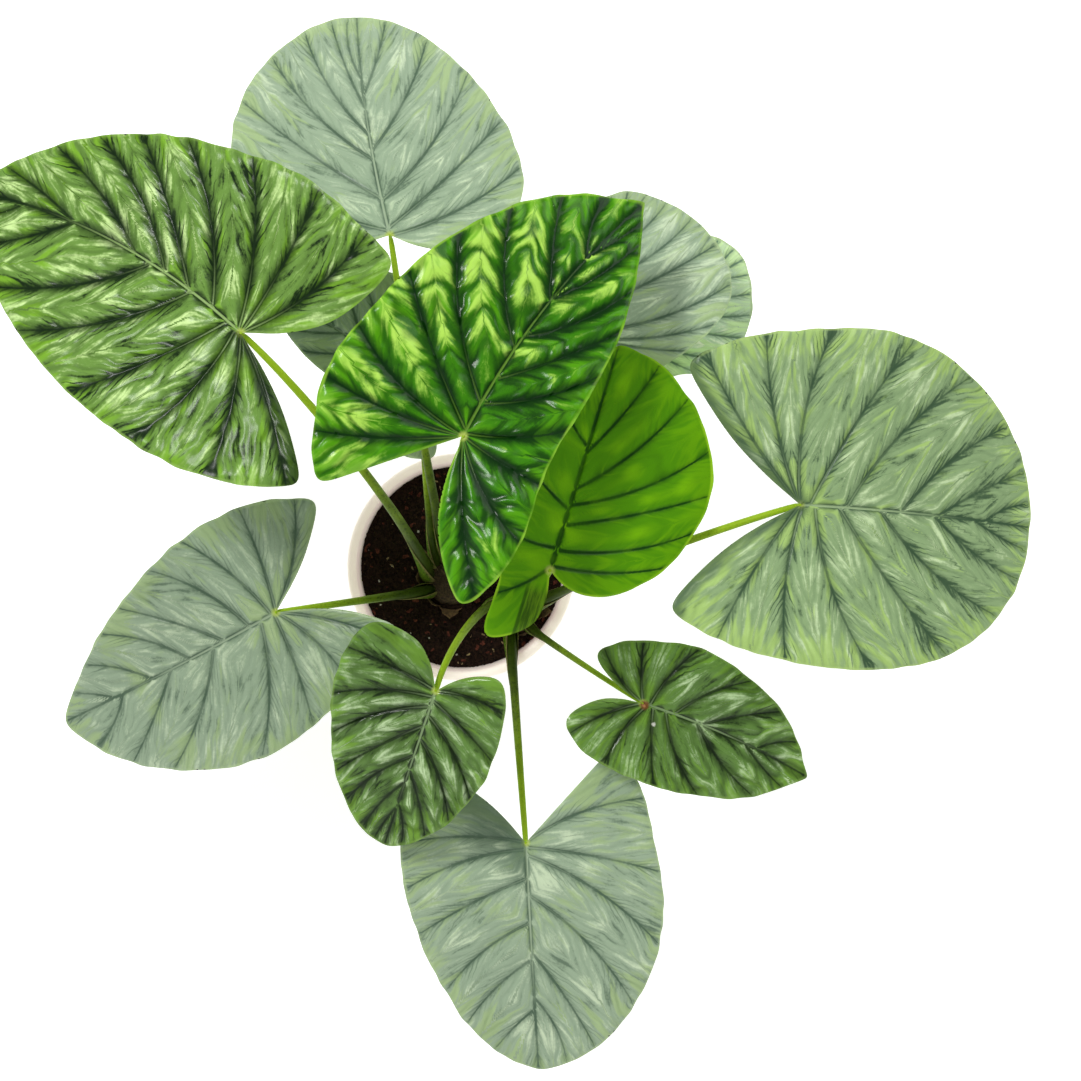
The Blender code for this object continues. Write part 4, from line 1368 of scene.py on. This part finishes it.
def drill_holes(piece):
    """Cuts the drain holes where the pot's solid has them."""
    bm = solid_mesh("pot")
    spots = [v.co.copy() for v in bm.verts if abs(v.co.z) < FLAT_TOLERANCE
             and DRAIN_RING[0] < math.hypot(v.co.x, v.co.y) < DRAIN_RING[1]]
    bm.free()
    holes = []
    for spot in spots:
        near = [hole for hole in holes if (hole[0] - spot).length < DRAIN_REACH]
        if near:
            near[0].append(spot)
        else:
            holes.append([spot])
    for hole in holes:
        middle = sum(hole, Vector()) / len(hole)
        reach = sum((spot - middle).length for spot in hole) / len(hole)
        bm = bmesh.new()
        bmesh.ops.create_cone(bm, cap_ends=True, segments=32, radius1=reach, radius2=reach,
                              depth=0.012)
        mesh = bpy.data.meshes.new("drain")
        bm.to_mesh(mesh)
        bm.free()
        cutter = bpy.data.objects.new("drain", mesh)
        bpy.context.scene.collection.objects.link(cutter)
        cutter.location = (middle.x, middle.y, 0.0)
        cut = piece.modifiers.new("drain", "BOOLEAN")
        cut.operation, cut.solver, cut.object = "DIFFERENCE", "EXACT", cutter
        bpy.context.view_layer.update()
        depsgraph = bpy.context.evaluated_depsgraph_get()
        made = bpy.data.meshes.new_from_object(piece.evaluated_get(depsgraph))
        piece.modifiers.remove(cut)
        piece.data = made
        bpy.data.objects.remove(cutter)


def pot_material(settings):
    """Plain plastic, dusty near the ground, with painted light: its rim glows, though the pot is
    no lamp.
    """
    t = Tree("pot_plastic_skin")
    place = t.position()
    _, _, up = t.split(place)
    dust = t.noise(place, 0.05, 4.0, 0.6)
    fine = t.noise(place, 1.8, 3.0)
    low = t.ramp(up, 0.0, 26.0, 0.5, 0.06)
    surface = t.mix(t.times(t.ramp(dust, 0.42, 0.72), low), settings.body, settings.scuff)
    speck = t.ramp(t.noise(place, 0.8, 2.0), 0.70, 0.76)
    surface = t.mix(t.times(speck, 0.35), surface, settings.scuff)
    # Painted light: the rim, above 106 mm, glows with its own emission.
    painted_rim_light = t.ramp(up, 106.0, 122.0, 0.0, settings.painted_rim_light)
    rough = t.plus(0.36, t.times(dust, 0.18))
    return t.finish(Base_Color=surface, Roughness=rough, Normal=t.bump(fine, 0.12, 0.0003),
                    Coat_Weight=0.08, Emission_Color=settings.painted_rim_light_tint, Emission_Strength=painted_rim_light)


# ---------------------------------------------------------------- operators

class ALOCASIA_OT_blades(bpy.types.Operator):
    """Build the twelve leaf blades on their solids"""
    bl_idname = "alocasia.build_blades"
    bl_label = "Leaf blades"

    def execute(self, context):
        for number in LEAF_NUMBERS:
            build_blade(number)
        return {"FINISHED"}


class ALOCASIA_OT_stalks(bpy.types.Operator):
    """Build the twelve leaf stalks and the sheaths round their feet"""
    bl_idname = "alocasia.build_stalks"
    bl_label = "Leaf stalks"

    def execute(self, context):
        settings = context.scene.alocasia_stalks
        tree = tube_tree(stalk_material(settings))
        skin = sheath_material(settings)
        for number in LEAF_NUMBERS:
            fine, widths = build_stalk(number, tree, settings)
            build_sheath(number, fine, widths, settings, skin)
        return {"FINISHED"}


class ALOCASIA_OT_crowns(bpy.types.Operator):
    """Build the two rhizomes and the dry scales round them"""
    bl_idname = "alocasia.build_crowns"
    bl_label = "Rhizomes"

    def execute(self, context):
        settings = context.scene.alocasia_mix
        husk = settings.husk
        skin = bark_skin("rhizome_skin", settings.rhizome, settings.rhizome_dark,
                         settings.rhizome_light)
        dry = bark_skin("husk_skin", husk, toned(husk, 0.45), toned(husk, 1.8))
        for node, husks in CROWNS.items():
            build_rhizome(node, skin)
            build_husks(node, husks, dry)
        return {"FINISHED"}


class ALOCASIA_OT_mix(bpy.types.Operator):
    """Build the potting mix with its crumbs, bark, straw and grit"""
    bl_idname = "alocasia.build_mix"
    bl_label = "Potting mix"

    def execute(self, context):
        s = context.scene.alocasia_mix
        body = build_mix_body(s, earth_material("earth", s.earth, s.earth_light))
        scatter(body, "mix_crumbs", earth_material("crumb", toned(s.earth, 0.8), s.earth_light),
                190000.0, 0.3 * s.crumb, s.crumb, (1.0, 0.85, 0.7), 3)
        scatter(body, "mix_bark", earth_material("bark", toned(s.bark, 0.35), s.bark),
                14000.0, 0.3 * s.chip, s.chip, (1.0, 0.55, 0.3), 11)
        scatter(body, "mix_straw", earth_material("straw", toned(s.straw, 0.5), s.straw),
                3200.0, 0.25 * s.chip, 0.8 * s.chip, (1.0, 0.35, 0.22), 17)
        scatter(body, "mix_grit", earth_material("grit", toned(s.grit, 0.6), s.grit),
                1100.0, 0.2 * s.chip, 0.45 * s.chip, (1.0, 0.85, 0.75), 23)
        return {"FINISHED"}


class ALOCASIA_OT_pot(bpy.types.Operator):
    """Build the pot with its rolled rim and drain holes"""
    bl_idname = "alocasia.build_pot"
    bl_label = "Pot"

    def execute(self, context):
        build_pot(context.scene.alocasia_pot)
        return {"FINISHED"}


class ALOCASIA_OT_stage(bpy.types.Operator):
    """Set out the floor, the lights and the camera"""
    bl_idname = "alocasia.build_stage"
    bl_label = "Stage"

    def execute(self, context):
        settings = context.scene.alocasia_stage
        build_floor(settings)
        build_lights(settings)
        build_camera(settings)
        context.scene.view_settings.view_transform = "Standard"
        return {"FINISHED"}


def build_floor(settings):
    """A wide, plain pale floor, lit a little from within so that it stays white."""
    half = settings.floor_reach
    corners = [(-half, -half, 0.0), (half, -half, 0.0), (half, half, 0.0), (-half, half, 0.0)]
    t = Tree("floor_paint")
    cloud = t.noise(t.position(), 0.004, 2.0)
    shade = t.mix(t.ramp(cloud, 0.3, 0.7, 0.0, 0.15), settings.floor, toned(settings.floor, 0.97))
    floor = mesh_object("floor", corners, [(0, 1, 2, 3)],
                        (t.finish(Base_Color=shade, Roughness=0.8, Emission_Color=shade,
                                  Emission_Strength=settings.floor_light),))


def build_lights(settings):
    """A dim pale sky, a soft key from behind left, and three wide softboxes round the plant."""
    world = bpy.data.worlds.new("studio")
    bpy.context.scene.world = world
    world.use_nodes = True
    sky = world.node_tree.nodes["Background"]
    sky.inputs["Color"].default_value = (1.0, 1.0, 1.0, 1.0)
    sky.inputs["Strength"].default_value = settings.sky
    middle = Vector(PLANT_MIDDLE)
    for name, place, size, power in LIGHTS:
        lamp = bpy.data.lights.new(name, "AREA")
        lamp.size = size
        lamp.energy = power
        light = bpy.data.objects.new(name, lamp)
        light.location = place
        light.rotation_euler = (middle - Vector(place)).to_track_quat("-Z", "Y").to_euler()
        bpy.context.scene.collection.objects.link(light)


def build_camera(settings):
    """Looks straight down on the plant, from above a point a little right of the pot's axis."""
    camera = bpy.data.cameras.new("camera")
    camera.lens = settings.lens
    camera.clip_end = 20.0
    eye = bpy.data.objects.new("camera", camera)
    eye.location = (0.0488, 0.0163, settings.camera_height)
    bpy.context.scene.collection.objects.link(eye)
    bpy.context.scene.camera = eye


OPERATORS = (ALOCASIA_OT_pot, ALOCASIA_OT_mix, ALOCASIA_OT_crowns, ALOCASIA_OT_stalks,
             ALOCASIA_OT_blades, ALOCASIA_OT_stage)
GROUPS = {"alocasia_blades": BladeSettings, "alocasia_stalks": StalkSettings,
          "alocasia_mix": MixSettings, "alocasia_pot": PotSettings,
          "alocasia_stage": StageSettings,
          **{"alocasia_" + name: group for name, group in LOOKS.items()}}


class ALOCASIA_PT_panel(bpy.types.Panel):
    """Lists the parts of the plant and their sizes and colours"""
    bl_idname = "ALOCASIA_PT_panel"
    bl_label = "Potted Alocasia"
    bl_space_type = "VIEW_3D"
    bl_region_type = "UI"
    bl_category = "Alocasia"

    def draw(self, context):
        for operator in OPERATORS:
            self.layout.operator(operator.bl_idname)
        for name, group in GROUPS.items():
            box = self.layout.box()
            box.label(text=name.replace("alocasia_", "").capitalize())
            for field in group.__annotations__:
                box.prop(getattr(context.scene, name), field)


def register():
    """Adds the property groups, the operators and the panel."""
    for group in GROUPS.values():
        bpy.utils.register_class(group)
    for name, group in GROUPS.items():
        setattr(bpy.types.Scene, name, PointerProperty(type=group))
    for entry in (*OPERATORS, ALOCASIA_PT_panel):
        bpy.utils.register_class(entry)


def unregister():
    """Takes them all away again."""
    for entry in (ALOCASIA_PT_panel, *reversed(OPERATORS)):
        bpy.utils.unregister_class(entry)
    for name, group in reversed(GROUPS.items()):
        delattr(bpy.types.Scene, name)
        bpy.utils.unregister_class(group)


def main():
    """Builds every piece and the stage."""
    register()
    bpy.ops.alocasia.build_pot()
    bpy.ops.alocasia.build_mix()
    bpy.ops.alocasia.build_crowns()
    bpy.ops.alocasia.build_stalks()
    bpy.ops.alocasia.build_blades()
    bpy.ops.alocasia.build_stage()


if __name__ == "__main__":
    main()
